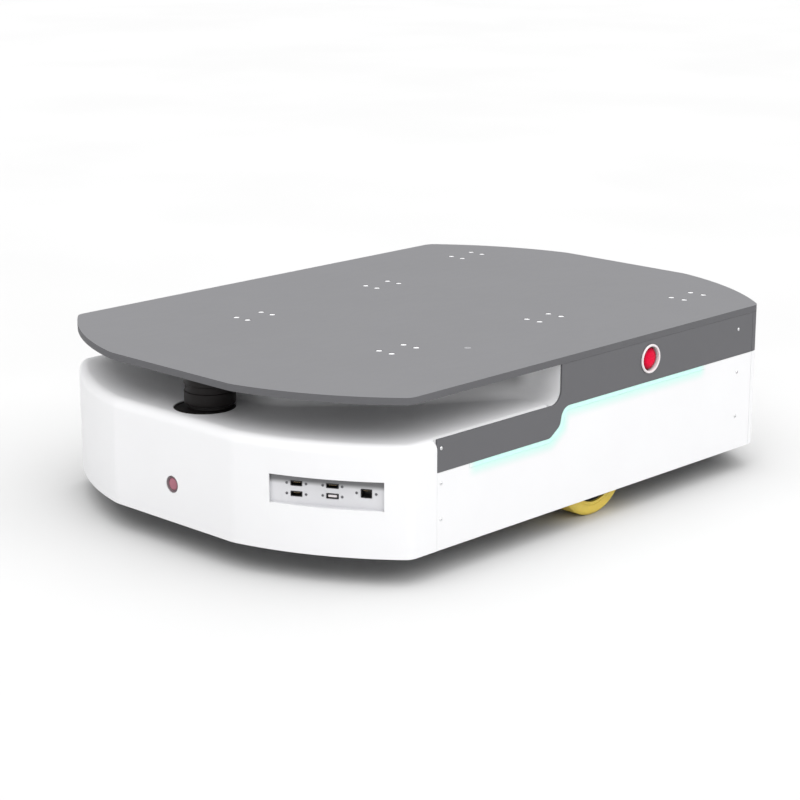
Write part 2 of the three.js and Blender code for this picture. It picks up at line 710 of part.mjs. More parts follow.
// caster, made with its swivel axis on Z, the floor at z = 0 and the wheel trailing to -X
function casterFork() {
  const [wide, top] = [19, 88];
  const cheek = [[-CASTER_TRAIL - 9, 28, 6], [-CASTER_TRAIL + 12, 28, 6], [16, top, 4], [-26, top, 4]];
  const points = rounded(cheek, 0, 1);
  const cheeks = [[wide - 3, wide], [-wide, 3 - wide]].map(([y0, y1]) => sheet(points, y0, y1));
  const crown = box(-26, 16, -wide, wide, top - 3.5, top);
  const pin = turned([[0, top - 1], [9, top - 1], [9, top + 4], [6, top + 4], [6, 96], [0, 96]], 12);
  const axle = rod(4, -wide - 4, wide + 4, 10).rotateX(Math.PI / 2).translate(-CASTER_TRAIL, 0, CASTER_R);
  return join(...cheeks, crown, pin, axle);
}

function casterPlate() {
  const top = PLATE_Z - GAP;
  const plate = box(-38, 38, -32, 32, top - 4, top);
  const race = turned([[9.5, 89], [20, 89], [22, 92], [22, top - 3], [9.5, top - 3]], 12);
  return cut(join(plate, race, rod(22, 96.5, top - 1, 12)), rod(9.5, 80, 96.5, 12));
}

function casterWheel() {
  return turnedAboutY([
    [4.3, -14], [10, -14], [CASTER_R - 12, -10], [CASTER_R - 3, -13], [CASTER_R, -9],
    [CASTER_R, 9], [CASTER_R - 3, 13], [CASTER_R - 12, 10], [10, 14], [4.3, 14],
  ], 20);
}

function addCasters() {
  const [plate, fork, wheel] = [casterPlate(), casterFork(), casterWheel()];
  for (const [end, sx] of [['front', 1], ['rear', -1]]) {
    for (const [side, sy] of [['left', 1], ['right', -1]]) {
      const caster = new THREE.Group();
      caster.position.set(sx * CASTER_X, sy * CASTER_Y, 0);
      group.add(caster);
      addPiece(caster, `caster_plate_${end}_${side}`, plate, STEEL);
      addPiece(caster, `caster_fork_${end}_${side}`, fork, STEEL);
      addPiece(caster, `caster_wheel_${end}_${side}`, wheel, RUBBER, [-CASTER_TRAIL, 0, CASTER_R]);
    }
  }
}

// ---------------------------------------------------------------- inside

function finnedBox(x0, x1, half, z0, z1, fins) {
  const pitch = (x1 - x0) / fins;
  const slots = Array.from({ length: fins - 1 }, (_, i) => {
    const x = x0 + pitch * (i + 1);
    return box(x - pitch / 4, x + pitch / 4, -half - 5, half + 5, z1 - 8, z1 + 5);
  });
  return cut(box(x0, x1, -half, half, z0, z1), ...slots);
}

function addInside() {
  const low = PLATE_TOP + GAP;
  const battery = join(box(-330, -130, -140, 140, low, 225), box(-130.5, -122, -30, 30, 190, 215));
  addPiece(group, 'battery', battery, BLUE);
  addPiece(group, 'motor_driver', finnedBox(-100, 20, 70, low, 150, 8), BLACK);
  addPiece(group, 'controller', finnedBox(50, 180, 60, low, 175, 9), ALUMINIUM);
  const port = join(box(-490, -474, -75, 75, 57, 101.5), box(-498.5, -489, -61, 61, 63, 97));
  addPiece(group, 'charge_block', port, BLACK);
}

addDeck();
addLoadRails();
addChassisPlate();
addFrames();
addCovers();
addEmergencyStops();
addStartButton();
addServiceWindow();
addScanner();
addDrives();
addCasters();
addInside();

export default group;
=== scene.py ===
"""Looks of a low platform robot, built round its fixed CAD frame.

Lengths in the shape code are millimetres; add() turns them into metres.
"""

import math

import bpy
from mathutils import Matrix, Vector


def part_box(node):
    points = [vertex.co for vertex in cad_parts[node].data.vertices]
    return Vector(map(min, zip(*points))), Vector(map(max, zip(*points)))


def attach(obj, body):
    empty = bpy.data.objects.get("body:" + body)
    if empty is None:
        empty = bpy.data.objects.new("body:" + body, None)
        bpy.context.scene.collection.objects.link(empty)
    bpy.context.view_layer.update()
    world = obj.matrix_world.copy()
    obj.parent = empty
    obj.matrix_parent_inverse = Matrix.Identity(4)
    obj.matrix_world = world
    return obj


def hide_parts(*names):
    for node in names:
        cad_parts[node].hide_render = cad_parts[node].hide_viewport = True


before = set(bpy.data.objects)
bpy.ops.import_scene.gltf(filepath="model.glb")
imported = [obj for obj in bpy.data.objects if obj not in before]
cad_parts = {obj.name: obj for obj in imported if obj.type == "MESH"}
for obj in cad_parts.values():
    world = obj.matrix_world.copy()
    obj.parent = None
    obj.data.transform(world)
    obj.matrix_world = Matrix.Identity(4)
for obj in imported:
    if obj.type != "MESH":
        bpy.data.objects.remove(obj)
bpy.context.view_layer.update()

MM = 0.001
GAP = 0.3                        # between neighbouring pieces

# body outline; a cheek is the curved face across a corner, from NOSE_HALF on the end face to
# CHEEK_FRONT or CHEEK_REAR along the side
HALF_LENGTH, HALF_WIDTH, NOSE_HALF = 500, 350, 125
CHEEK_FRONT, CHEEK_REAR, CHEEK_R = 384, 390, 480
NOSE_ROUND, SIDE_ROUND = 60, 20

# heights
DECK_TOP, DECK_UNDER, COVER_TOP = 262, 252, 251.7
SLOT_FLOOR, CHASSIS_UNDER, SKIRT_Z = 195, 102, 39.3

# covers
SKIN = 3
RIM_ROUND = 15
PANEL_FRONT, PANEL_REAR = 334.5, -378
PANEL_BACK = HALF_WIDTH - SKIN
SLOT_END, SLOT_FILLET = 79.5, 20
BAND_LOW, BAND_HIGH = 148.8, 189.6
BAND_CORNERS = [(103, BAND_LOW, 12), (82, 163, 14), (75.5, BAND_HIGH, 18)]
STRIP_HEIGHT, STRIP_FRONT, STRIP_REAR = 6, 270, -258
LAMP_PITCH = 16.6

# load rails: each one's X, and how far its two hole clusters are from the middle
CLUSTERS = {"front": (205, 151), "middle": (-91, 171), "rear": (-363, 235)}
CLUSTER_PITCH_X, CLUSTER_PITCH_Y = 50, 25
DECK_HOLE_R, RAIL_THICK = 5, 8

# scanner, buttons, wheels
SCANNER_R, FOOT_R, SCANNER_SHAFT_R = 36.5, 44, 6
ESTOP_R, BARREL_R, CAP_R = 21.8, 19.5, 17
START_R = 12
WHEEL_R, WHEEL_WIDTH, RIM_R = 73, 40, 52
HUB_BOLTS, BOLT_CIRCLE_R = 5, 34
CASTER_R, CASTER_TRAIL = 37.5, 28

# service window, on the left front cheek
WINDOW_ANGLE = math.radians(29)
WINDOW_CENTRE, WINDOW_Z = (442.5, 245), 125.8
WINDOW_OFFSET = 5                # of the opening's middle from WINDOW_CENTRE, along the cheek
WINDOW_WIDTH, WINDOW_HEIGHT = 160, 40.5
PANEL_STAND = 0.5                # how far the panel's face stands out past WINDOW_CENTRE

# charging port at the rear
PORT_HALF, PORT_LOW, PORT_HIGH = 61, 63, 97
CONTACTS_Y = (-30, 30)

# the photograph's viewpoint: metres and degrees
CAMERA_PLACE, CAMERA_DOWN, CAMERA_TURN = (2.34843, 2.23271, 0.99635), 15.154, 134.1
CAMERA_SENSOR, CAMERA_LENS = 36, 97.58


# ---------------------------------------------------------------- plane shapes

def arc(cx, cy, radius, start, end, steps):
    angles = [start + (end - start) * i / steps for i in range(steps + 1)]
    return [(cx + radius * math.cos(a), cy + radius * math.sin(a)) for a in angles]


def circle(cx, cy, radius, sides=24):
    return arc(cx, cy, radius, 0, 2 * math.pi, sides)[:-1]


def cheek_centre(side_end):
    """Centre of a curved corner face, from its two ends on the body's edges."""
    dx, dy = HALF_LENGTH - side_end, HALF_WIDTH - NOSE_HALF
    half = math.hypot(dx, dy) / 2
    back = math.sqrt(CHEEK_R**2 - half**2) / (2 * half)
    return (HALF_LENGTH + side_end) / 2 - dy * back, (HALF_WIDTH + NOSE_HALF) / 2 - dx * back


def corner_points(inset, side_end):
    """One quarter of the body outline, from the end edge round to the long side."""
    cx, cy = cheek_centre(side_end)
    radius, nose, side = CHEEK_R - inset, NOSE_ROUND - inset, max(SIDE_ROUND - inset, 1)
    nose_x = HALF_LENGTH - inset - nose
    nose_y = cy + math.sqrt((radius - nose) ** 2 - (nose_x - cx) ** 2)
    side_y = HALF_WIDTH - inset - side
    side_x = cx + math.sqrt((radius - side) ** 2 - (side_y - cy) ** 2)
    first = math.atan2(nose_y - cy, nose_x - cx)
    last = math.atan2(side_y - cy, side_x - cx)
    return (arc(nose_x, nose_y, nose, 0, first, 12)
            + arc(cx, cy, radius, first, last, 40)[1:-1]
            + arc(side_x, side_y, side, last, math.pi / 2, 8))


def flipped(points, x_sign, y_sign):
    return [(x_sign * x, y_sign * y) for x, y in points]


def body_outline(inset=0):
    front, rear = corner_points(inset, CHEEK_FRONT), corner_points(inset, CHEEK_REAR)
    return [*front, *flipped(rear, -1, 1)[::-1], *flipped(rear, -1, -1), *flipped(front, 1, -1)[::-1]]


def rounded(corners, grow=0, steps=8):
    """Rounded polygon, anticlockwise, pushed out by grow. Corners are (x, y) or (x, y, radius)."""
    corners = [(*c, 0)[:3] for c in corners]
    count = len(corners)

    def direction(i):
        (ax, ay, _), (bx, by, _) = corners[i % count], corners[(i + 1) % count]
        return Vector((bx - ax, by - ay)).normalized()

    points = []
    for i, (x, y, r) in enumerate(corners):
        before, after = direction(i - 1), direction(i)
        turn = before.x * after.y - before.y * after.x
        radius = max(r + grow if turn > 0 else r - grow, 0)
        half = math.acos(max(-1, min(1, before.dot(after)))) / 2
        out = Vector((before.y + after.y, -before.x - after.x)).normalized()
        corner = Vector((x, y)) + out * (grow / math.cos(half))
        if not r:
            points.append(tuple(corner))
            continue
        side = math.copysign(1, turn)
        centre = corner - out * (side * radius / math.cos(half))
        middle = math.atan2(side * out.y, side * out.x)
        points += arc(centre.x, centre.y, radius, middle - side * half, middle + side * half, steps)
    return points


def rounded_rectangle(x0, x1, y0, y1, radius):
    return rounded([(x0, y0, radius), (x1, y0, radius), (x1, y1, radius), (x0, y1, radius)])


def pillar_outline(grow):
    """The white pillar behind the scanner, which widens to the band's ends."""
    half = [(360, 62, 30), (240, 181, 80), (SLOT_END + GAP, 285, 45), (SLOT_END + GAP, 360)]
    right = [(x, -y, *r) for x, y, *r in half][::-1]
    return rounded([(40, -360), *right, *half, (40, 360)], grow, 12)


def band_lower_edge(drop, front, rear):
    """Lower edge of the band from front to rear, drop millimetres below it."""
    corners = [(front, BAND_LOW), *BAND_CORNERS, (rear, BAND_HIGH), (rear, 400), (front, 400)]
    edge = rounded(corners[::-1], drop, 10)[::-1]
    return [(min(max(x, rear), front), z) for x, z in edge if z < 300]


# ---------------------------------------------------------------- solid shapes: (points, faces)

def prism(points, z0, z1):
    n = len(points)
    verts = [(x, y, z) for z in (z0, z1) for x, y in points]
    sides = [(i, (i + 1) % n, (i + 1) % n + n, i + n) for i in range(n)]
    return verts, sides + [tuple(range(n))[::-1], tuple(range(n, 2 * n))]


def sheet(points, y0, y1):
    """A sheet in the XZ plane; its outline runs anticlockwise as seen from -Y."""
    verts, faces = prism(points, -y1, -y0)
    return [(x, -z, y) for x, y, z in verts], faces


def block(x0, x1, y0, y1, z0, z1):
    return prism([(x0, y0), (x1, y0), (x1, y1), (x0, y1)], z0, z1)


def loft(rings):
    n = len(rings[0][0])
    verts = [(x, y, z) for points, z in rings for x, y in points]
    faces = [(k * n + i, k * n + (i + 1) % n, (k + 1) * n + (i + 1) % n, (k + 1) * n + i)
             for k in range(len(rings) - 1) for i in range(n)]
    top = (len(rings) - 1) * n
    return verts, faces + [tuple(range(n))[::-1], tuple(range(top, top + n))]


def turned(corners, sides=64, steps=3):
    """Turned about +Z; corners are (radius, height) or (radius, height, fillet), anticlockwise."""
    profile = [(max(r, 0), h) for r, h in rounded(corners, 0, steps)]
    verts, rows = [], []
    for r, h in profile:
        if r < 1e-6:
            rows.append([len(verts)] * sides)
            verts.append((0, 0, h))
        else:
            rows.append([len(verts) + k for k in range(sides)])
            verts += [(r * math.cos(a), r * math.sin(a), h)
                      for a in (2 * math.pi * k / sides for k in range(sides))]
    faces = []
    for low, high in zip(rows, rows[1:] + rows[:1]):
        for k in range(sides):
            ring = [low[k], low[(k + 1) % sides], high[(k + 1) % sides], high[k]]
            face = tuple(dict.fromkeys(ring))
            if len(face) > 2:
                faces.append(face)
    return verts, faces


def moved(shape, matrix):
    return [tuple(matrix @ Vector(v)) for v in shape[0]], shape[1]


def shifted(shape, x=0, y=0, z=0):
    return moved(shape, Matrix.Translation((x, y, z)))


def spun(shape, degrees, axis):
    return moved(shape, Matrix.Rotation(math.radians(degrees), 4, axis))


def turned_about_y(corners, sides=64, steps=3):
    return spun(turned(corners, sides, steps), -90, "X")


def ring_of(shape, count, first=0):
    """Copies of a shape, evenly spaced about Y from first degrees on."""
    return [spun(shape, first + 360 * k / count, "Y") for k in range(count)]


def rod(radius, z0, z1, sides=32):
    return prism(circle(0, 0, radius, sides), z0, z1)


def together(*shapes):
    """Separate closed bodies in one mesh."""
    verts, faces = [], []
    for points, polygons in shapes:
        faces += [tuple(i + len(verts) for i in f) for f in polygons]
        verts += points
    return verts, faces


def bare_object(name, shape, scale=1.0):
    mesh = bpy.data.meshes.new(name)
    mesh.from_pydata([Vector(v) * scale for v in shape[0]], [], shape[1])
    obj = bpy.data.objects.new(name, mesh)
    bpy.context.scene.collection.objects.link(obj)
    return obj


def combined(operation, shape, tools):
    made = [bare_object("tool", s) for s in (shape, *tools)]
    for tool in made[1:]:
        modifier = made[0].modifiers.new("combine", "BOOLEAN")
        modifier.operation, modifier.solver, modifier.object = operation, "MANIFOLD", tool
    mesh = made[0].evaluated_get(bpy.context.evaluated_depsgraph_get()).to_mesh()
    result = [tuple(v.co) for v in mesh.vertices], [tuple(p.vertices) for p in mesh.polygons]
    for obj in made:
        data = obj.data
        bpy.data.objects.remove(obj)
        bpy.data.meshes.remove(data)
    if not result[1]:
        raise ValueError("a boolean left nothing")
    return result


def cut(shape, *tools):
    return combined("DIFFERENCE", shape, tools)


def union(shape, *others):
    return combined("UNION", shape, others)


def mirrored(shape):
    return [(x, -y, z) for x, y, z in shape[0]], [f[::-1] for f in shape[1]]


# ---------------------------------------------------------------- material recipes

MIX_A, MIX_B, MIX_RESULT = 6, 7, 2       # the Mix node's colour sockets


class Graph:
    """A node tree, with short calls for what the recipes repeat."""

    def __init__(self, owner, shader, **values):
        owner.use_nodes = True
        self.tree = owner.node_tree
        self.shader = self.tree.nodes[shader]
        for socket, value in values.items():
            self.shader.inputs[socket.replace("_", " ")].default_value = value
        self.coordinates = self.tree.nodes.new("ShaderNodeTexCoord").outputs
        self.place = self.coordinates["Object"]

    def feed(self, socket, value):
        """Gives a socket another node's output, a number or a colour."""
        if isinstance(value, bpy.types.NodeSocket):
            self.tree.links.new(value, socket)
        else:
            socket.default_value = (*value, 1) if socket.type == "RGBA" else value

    def node(self, kind, *inputs, **settings):
        made = self.tree.nodes.new(kind)
        for key, value in settings.items():
            setattr(made, key, value)
        for socket, value in zip(made.inputs, inputs):
            self.feed(socket, value)
        return made

    def set(self, socket, value):
        self.feed(self.shader.inputs[socket], value)

    def math(self, operation, *inputs):
        return self.node("ShaderNodeMath", *inputs, operation=operation).outputs[0]

    def dot(self, point, direction):
        made = self.node("ShaderNodeVectorMath", point, direction, operation="DOT_PRODUCT")
        return made.outputs["Value"]

    def stretch(self, x, y, z):
        mapping = self.node("ShaderNodeMapping", self.place)
        mapping.inputs["Scale"].default_value = (x, y, z)
        return mapping.outputs[0]

    def noise(self, scale, detail=3, roughness=0.55, source=None):
        made = self.node("ShaderNodeTexNoise", source or self.place)
        made.inputs["Scale"].default_value = scale
        made.inputs["Detail"].default_value = detail
        made.inputs["Roughness"].default_value = roughness
        return made.outputs["Fac"]

    def cells(self, scale):
        made = self.node("ShaderNodeTexVoronoi", self.place)
        made.inputs["Scale"].default_value = scale
        return made.outputs["Distance"]

    def level(self, value, low, high, to_low=0.0, to_high=1.0):
        made = self.node("ShaderNodeMapRange", value, low, high, to_low, to_high,
                         interpolation_type="SMOOTHSTEP")
        return made.outputs["Result"]

    def axis(self, name, source=None):
        return self.node("ShaderNodeSeparateXYZ", source or self.place).outputs[name]

    def mix(self, factor, a, b):
        """A colour between a and b."""
        made = self.node("ShaderNodeMix", factor, data_type="RGBA")
        self.feed(made.inputs[MIX_A], a)
        self.feed(made.inputs[MIX_B], b)
        return made.outputs[MIX_RESULT]


class Finish(Graph):
    """A material's node tree."""

    def __init__(self, name, **values):
        self.material = bpy.data.materials.new(name)
        super().__init__(self.material, "Principled BSDF", **values)
        self.relief = None

    def tint(self, factor, colour):
        """Lays a colour over the base colour so far."""
        so_far = self.shader.inputs["Base Color"].links[0].from_socket
        self.set("Base Color", self.mix(factor, so_far, colour))

    def bump(self, height, distance):
        """distance is the height of the relief in millimetres."""
        made = self.node("ShaderNodeBump")
        made.inputs["Distance"].default_value = distance * MM
        self.tree.links.new(height, made.inputs["Height"])
        if self.relief is not None:
            self.tree.links.new(self.relief, made.inputs["Normal"])
        self.relief = made.outputs[0]
        self.set("Normal", self.relief)

    def crevices(self, reach):
        """1 in the open, falling towards 0 in corners nearer than reach millimetres."""
        made = self.node("ShaderNodeAmbientOcclusion", samples=6)
        made.inputs["Distance"].default_value = reach * MM
        return made.outputs["AO"]


def shade(colour, factor):
    return tuple(min(c * factor, 1) for c in colour)


def painted(name, colour, rough=0.5, grain=0.03, peel=900, mottle=0.05, grime_and_shade=0.12, **shader):
    """Powder coat: fine pebbled grain, faint mottling, and painted shade with some dust in corners."""
    g = Finish(name, **shader)
    blotch = g.level(g.noise(9, 4), 0.3, 0.7)
    speck = g.level(g.noise(2600, 1), 0.35, 0.65)
    g.set("Base Color", g.mix(blotch, shade(colour, 1 - mottle), shade(colour, 1 + mottle)))
    g.tint(g.math("MULTIPLY", speck, 0.5), shade(colour, 1 - 1.6 * mottle))
    # darker in corners and creases: painted shade, with some dust
    g.tint(g.level(g.crevices(9), 0.25, 0.85, grime_and_shade, 0.0), shade(colour, 0.25))
    smear = g.level(g.noise(30, 5, source=g.stretch(1, 2.4, 1.6)), 0.35, 0.7)
    g.set("Roughness", g.math("MULTIPLY_ADD", smear, 2 * mottle, rough - mottle))
    g.bump(g.noise(peel, 2, 0.5), grain)
    g.bump(g.noise(peel * 3, 1, 0.5), grain * 0.4)
    return g


def bare_metal(name, colour, rough=0.35, lines=(1, 60, 60), scratch=0.02, mottle=0.12,
               grime_and_shade=0.55, metallic=1.0):
    """Rolled, brushed or plated metal: drawn lines, cloudy plating, darker oxide in corners."""
    g = Finish(name, Metallic=metallic)
    cloud = g.level(g.noise(38, 5, 0.65), 0.3, 0.7)
    drawn = g.noise(14, 4, 0.7, source=g.stretch(*lines))
    g.set("Base Color", g.mix(cloud, shade(colour, 1 - mottle), shade(colour, 1 + mottle)))
    g.tint(g.level(g.crevices(6), 0.2, 0.8, grime_and_shade, 0.0), shade(colour, 0.3))
    g.set("Roughness", g.math("MULTIPLY_ADD", drawn, 0.25, rough - 0.1))
    g.bump(drawn, scratch)
    g.bump(g.noise(1500, 2), scratch * 0.5)
    return g


def moulded(name, colour, rough=0.4, grain=0.02, mottle=0.06, scale=1400, **shader):
    """Moulded plastic or rubber: spark-eroded grain, faint flow marks, scuffed high spots."""
    g = Finish(name, **shader)
    flow = g.level(g.noise(26, 4, 0.6, source=g.stretch(1, 1, 2.2)), 0.3, 0.7)
    g.set("Base Color", g.mix(flow, shade(colour, 1 - mottle), shade(colour, 1 + mottle)))
    g.tint(g.level(g.noise(70, 6, 0.75), 0.6, 0.78, 0.0, 0.35), shade(colour, 1 + 3 * mottle))
    # darker in corners and creases: painted shade
    g.tint(g.level(g.crevices(5), 0.2, 0.8, 0.35, 0.0), shade(colour, 0.3))
    g.set("Roughness", g.math("MULTIPLY_ADD", flow, 0.14, rough - 0.07))
    g.bump(g.cells(scale), grain)
    g.bump(g.noise(scale * 0.4, 2), grain)
    return g


CYAN_TINT = (0.53, 0.745, 0.69)
CYAN_LIGHT, CYAN_SPILL = (0.25, 1.0, 0.92), (0.25, 1.0, 0.9)
# colours of painted shade: under overhangs, and round the red caps' rims
OVERHANG_SHADE, CAP_RIM_SHADE = (0.10, 0.10, 0.105), (0.16, 0.0, 0.01)


def in_millimetres(g):
    return g.node("ShaderNodeVectorMath", g.place, (1 / MM,) * 3, operation="MULTIPLY").outputs[0]


def below_band(g, point):
    """Millimetres below the band's lower edge, following its step."""
    def below(a, b):
        """Distance from the line a-b, positive on the panel's side."""
        along = Vector((b[0] - a[0], b[1] - a[1])).normalized()
        normal = (-along.y, 0, along.x)
        return g.math("SUBTRACT", g.dot(point, normal), normal[0] * a[0] + normal[2] * a[1])

    corners = [(STRIP_FRONT, BAND_LOW), *(c[:2] for c in BAND_CORNERS), (STRIP_REAR, BAND_HIGH)]
    front, slope, riser, rear = [below(a, b) for a, b in zip(corners, corners[1:])]
    step = g.math("SMOOTH_MAX", g.math("SMOOTH_MAX", front, slope, 6), riser, 6)
    return g.math("SMOOTH_MIN", step, rear, 8)


def lit_ends(g, point, inside=14, outside=6):
    """1 along the light strip, fading out over its last millimetres at both ends."""
    x = g.axis("X", point)
    front = g.level(x, STRIP_FRONT - inside, STRIP_FRONT + outside, 1.0, 0.0)
    return g.math("MULTIPLY", front, g.level(x, STRIP_REAR - outside, STRIP_REAR + inside, 0.0, 1.0))


def add_glow(g, brightness):
    """Light from the strip, spread over the panel just below it."""
    point = in_millimetres(g)
    spread = g.level(below_band(g, point), 4, 24, 1.0, 0.0)
    glow = g.math("MULTIPLY", spread, lit_ends(g, point))
    g.tint(glow, CYAN_TINT)
    g.set("Emission Color", g.mix(glow, (0, 0, 0), CYAN_SPILL))
    g.set("Emission Strength", g.math("MULTIPLY", glow, brightness))
    return g


def sheltered(g, most, *ramps):
    """Darker where an overhang keeps the light off. A ramp is an axis, the millimetres at
    which the surface is clear, and those at which it is darkest."""
    factor = most
    for axis, clear, dark in ramps:
        factor = g.math("MULTIPLY", g.level(g.axis(axis), clear * MM, dark * MM), factor)
    g.tint(factor, OVERHANG_SHADE)
    return g


def painted_rim_shade(g, inner, outer):
    """Painted shade towards the edge of a cap turned about Y; radii in millimetres."""
    radius = g.node("ShaderNodeVectorMath", g.stretch(1, 0, 1), operation="LENGTH").outputs["Value"]
    g.tint(g.level(radius, inner * MM, outer * MM, 0.0, 0.8), CAP_RIM_SHADE)
    return g


# ---------------------------------------------------------------- materials

DECK = (0.186, 0.186, 0.194)
BAND = (0.116, 0.116, 0.123)
WHITE = (0.79, 0.79, 0.80)

# how dark at most, then an axis with the places at which the surface is clear and darkest
SLOT_SHADE = 0.66, ("Z", SLOT_FLOOR + 2, SLOT_FLOOR + 29), ("X", SLOT_END, SLOT_END + 16.5)
TRAY_SHADE = 0.86, ("Z", 5, 13)          # heights from the middle of the service window


def grey_coat(name, colour, rough=0.6, gloss=0.3):
    """The smooth coat of the deck and the band."""
    return painted(name, colour, rough, grain=0.02, mottle=0.012, grime_and_shade=0.3, Specular_IOR_Level=gloss)


def white_coat(name):
    """The covers' semi-gloss coat, with a faint orange peel."""
    return painted(name, WHITE, rough=0.42, grain=0.012, peel=420, mottle=0.01, grime_and_shade=0.25,
                   Specular_IOR_Level=0.3)


deck_paint = grey_coat("deck_paint", DECK, 0.62).material
band_paint = grey_coat("band_paint", BAND).material
# the deck plate's sides, in a darker grey than its top: painted shade on its upright faces
deck_edge_shade = grey_coat("deck_edge_shade", shade(BAND, 0.97), gloss=0.2).material
white_paint = white_coat("white_paint").material
nose_paint = sheltered(white_coat("nose_paint"), *SLOT_SHADE).material
glow_paint = add_glow(white_coat("glow_paint"), 0.08).material
panel_paint = sheltered(painted("panel_paint", (0.64, 0.64, 0.66), mottle=0.02), *TRAY_SHADE).material
black_plastic = moulded("black_plastic", (0.013, 0.012, 0.012), rough=0.42).material
scanner_plastic = moulded("scanner_plastic", (0.010, 0.008, 0.008), rough=0.42, grain=0.008,
                          Specular_IOR_Level=0.2).material
# the red caps: painted shade darkens them towards the rim
red_plastic = painted_rim_shade(moulded("red_plastic", (0.68, 0.0005, 0.036), rough=0.3, grain=0.01,
                               Specular_IOR_Level=0.08), 8, CAP_R).material
start_bezel = moulded("start_bezel", (0.14, 0.10, 0.11), rough=0.45).material
pink_plastic = moulded("pink_plastic", (0.34, 0.115, 0.155), rough=0.35, grain=0.01).material
ring_plastic = moulded("ring_plastic", (0.74, 0.69, 0.70), rough=0.3, grain=0.01, mottle=0.02).material
dark_grey = moulded("dark_grey", (0.09, 0.09, 0.10), rough=0.45).material
rubber = moulded("rubber", (0.035, 0.036, 0.040), rough=0.75, grain=0.04, scale=700).material
tyre_yellow = moulded("tyre_yellow", (0.82, 0.62, 0.10), rough=0.5, grain=0.03, scale=800,
                      Subsurface_Weight=0.08, Subsurface_Scale=0.004).material
zinc = bare_metal("zinc", (0.52, 0.53, 0.55), rough=0.42, lines=(1, 30, 30)).material
aluminium = bare_metal("aluminium", (0.78, 0.79, 0.81), rough=0.32, lines=(50, 1, 50)).material
bright_steel = bare_metal("bright_steel", (0.80, 0.80, 0.81), rough=0.25, lines=(1, 1, 1)).material
boss_metal = bare_metal("boss_metal", (0.90, 0.90, 0.91), rough=0.5, lines=(1, 1, 1), mottle=0.02,
                        grime_and_shade=0.1, metallic=0.1).material
dark_steel = bare_metal("dark_steel", (0.20, 0.20, 0.21), rough=0.5, lines=(1, 1, 1)).material
brass = bare_metal("brass", (0.80, 0.55, 0.22), rough=0.3, lines=(1, 1, 80)).material
motor_paint = painted("motor_paint", (0.05, 0.052, 0.058), rough=0.5, grain=0.04).material
hub_paint = painted("hub_paint", (0.022, 0.022, 0.024), rough=0.45, grain=0.04).material
plug_grey = painted("plug_grey", shade(DECK, 1.8), rough=0.5, mottle=0.02, grime_and_shade=0.05).material
battery_case = painted("battery_case", (0.03, 0.085, 0.20), rough=0.5, grain=0.05, peel=500).material


def diffuser():
    """The light strip's frosted window, faintly brighter over each lamp behind it."""
    g = Finish("diffuser", Roughness=0.45)
    point = in_millimetres(g)
    ends = lit_ends(g, point)
    frost = g.noise(400, 2)
    lamps = g.math("SINE", g.math("MULTIPLY", g.axis("X", point), 2 * math.pi / LAMP_PITCH))
    tint = g.mix(g.level(frost, 0.3, 0.7), CYAN_TINT, shade(CYAN_TINT, 1.04))
    g.set("Base Color", g.mix(ends, WHITE, tint))
    g.set("Emission Color", g.mix(ends, (0.3, 0.3, 0.3), CYAN_LIGHT))
    g.set("Emission Strength", g.math("MULTIPLY_ADD", lamps, 0.02, g.math("MULTIPLY", ends, 0.12)))
    g.bump(frost, 0.02)
    g.bump(g.cells(900), 0.01)
    return g.material


strip_light = diffuser()

# ---------------------------------------------------------------- pieces

def soften(obj, width, segments=2, angle=40):
    """Rounds the edges that turn by more than angle, by width millimetres."""
    edge = obj.modifiers.new("edge", "BEVEL")
    edge.width, edge.segments, edge.limit_method = width * MM, segments, "ANGLE"
    edge.angle_limit = math.radians(angle)
    obj.modifiers.new("shading", "WEIGHTED_NORMAL").keep_sharp = True


def add(name, shape, material, body="chassis", replaces=(), place=None, bevel=0.0,
        segments=2, sharp=40):
    """A piece of the object. Its edges are rounded by bevel, or else shaded sharp."""
    obj = bare_object(name, shape, MM)
    obj.data.materials.append(material)
    obj.data.shade_smooth()
    if bevel:
        soften(obj, bevel, segments)
    else:
        obj.data.set_sharp_from_angle(angle=math.radians(sharp))
    if place is not None:
        obj.matrix_world = place
    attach(obj, body)
    if replaces:
        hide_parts(*([replaces] if isinstance(replaces, str) else replaces))
    return obj


def keep(node, material, bevel):
    """A CAD node that shows its own mesh, with a finished material and softened edges."""
    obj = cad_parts[node]
    obj.data.materials.clear()
    obj.data.materials.append(material)
    obj.data.shade_smooth()
    obj.modifiers.new("weld", "WELD").merge_threshold = 0.02 * MM
    soften(obj, bevel, angle=35)


def centre_of(node):
    low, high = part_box(node)
    return (low + high) / 2


def facing(sign):
    """Turns a shape that faces +Y to face the left for 1 and the right for -1."""
    return Matrix.Rotation(0 if sign > 0 else math.pi, 4, "Z")


def on_side(shape, sign):
    """A shape made for the left side, mirrored where the side is the right one."""
    return shape if sign > 0 else mirrored(shape)


SIDES = (("left", 1), ("right", -1))


def screw(radius, height, sides=24):
    """Button head with a hexagon socket, its seat at z = 0."""
    head = turned([(0, -2), (radius * 0.55, -2), (radius * 0.55, 0), (radius, 0, 0.1),
                   (radius, height * 0.4, height * 0.3), (radius * 0.6, height, height * 0.3),
                   (0, height)], sides)
    return cut(head, rod(radius * 0.42, height * 0.25, height + 1, 6))


def cluster_holes(cluster):
    x, y = cluster
    return [(x + sx * CLUSTER_PITCH_X / 2, side * (y + sy * CLUSTER_PITCH_Y / 2))
            for sx in (-1, 1) for sy in (-1, 1) for side in (-1, 1)]


# ---------------------------------------------------------------- deck and rails

DECK_SCREW = (130, 217)          # the one countersunk screw in the deck


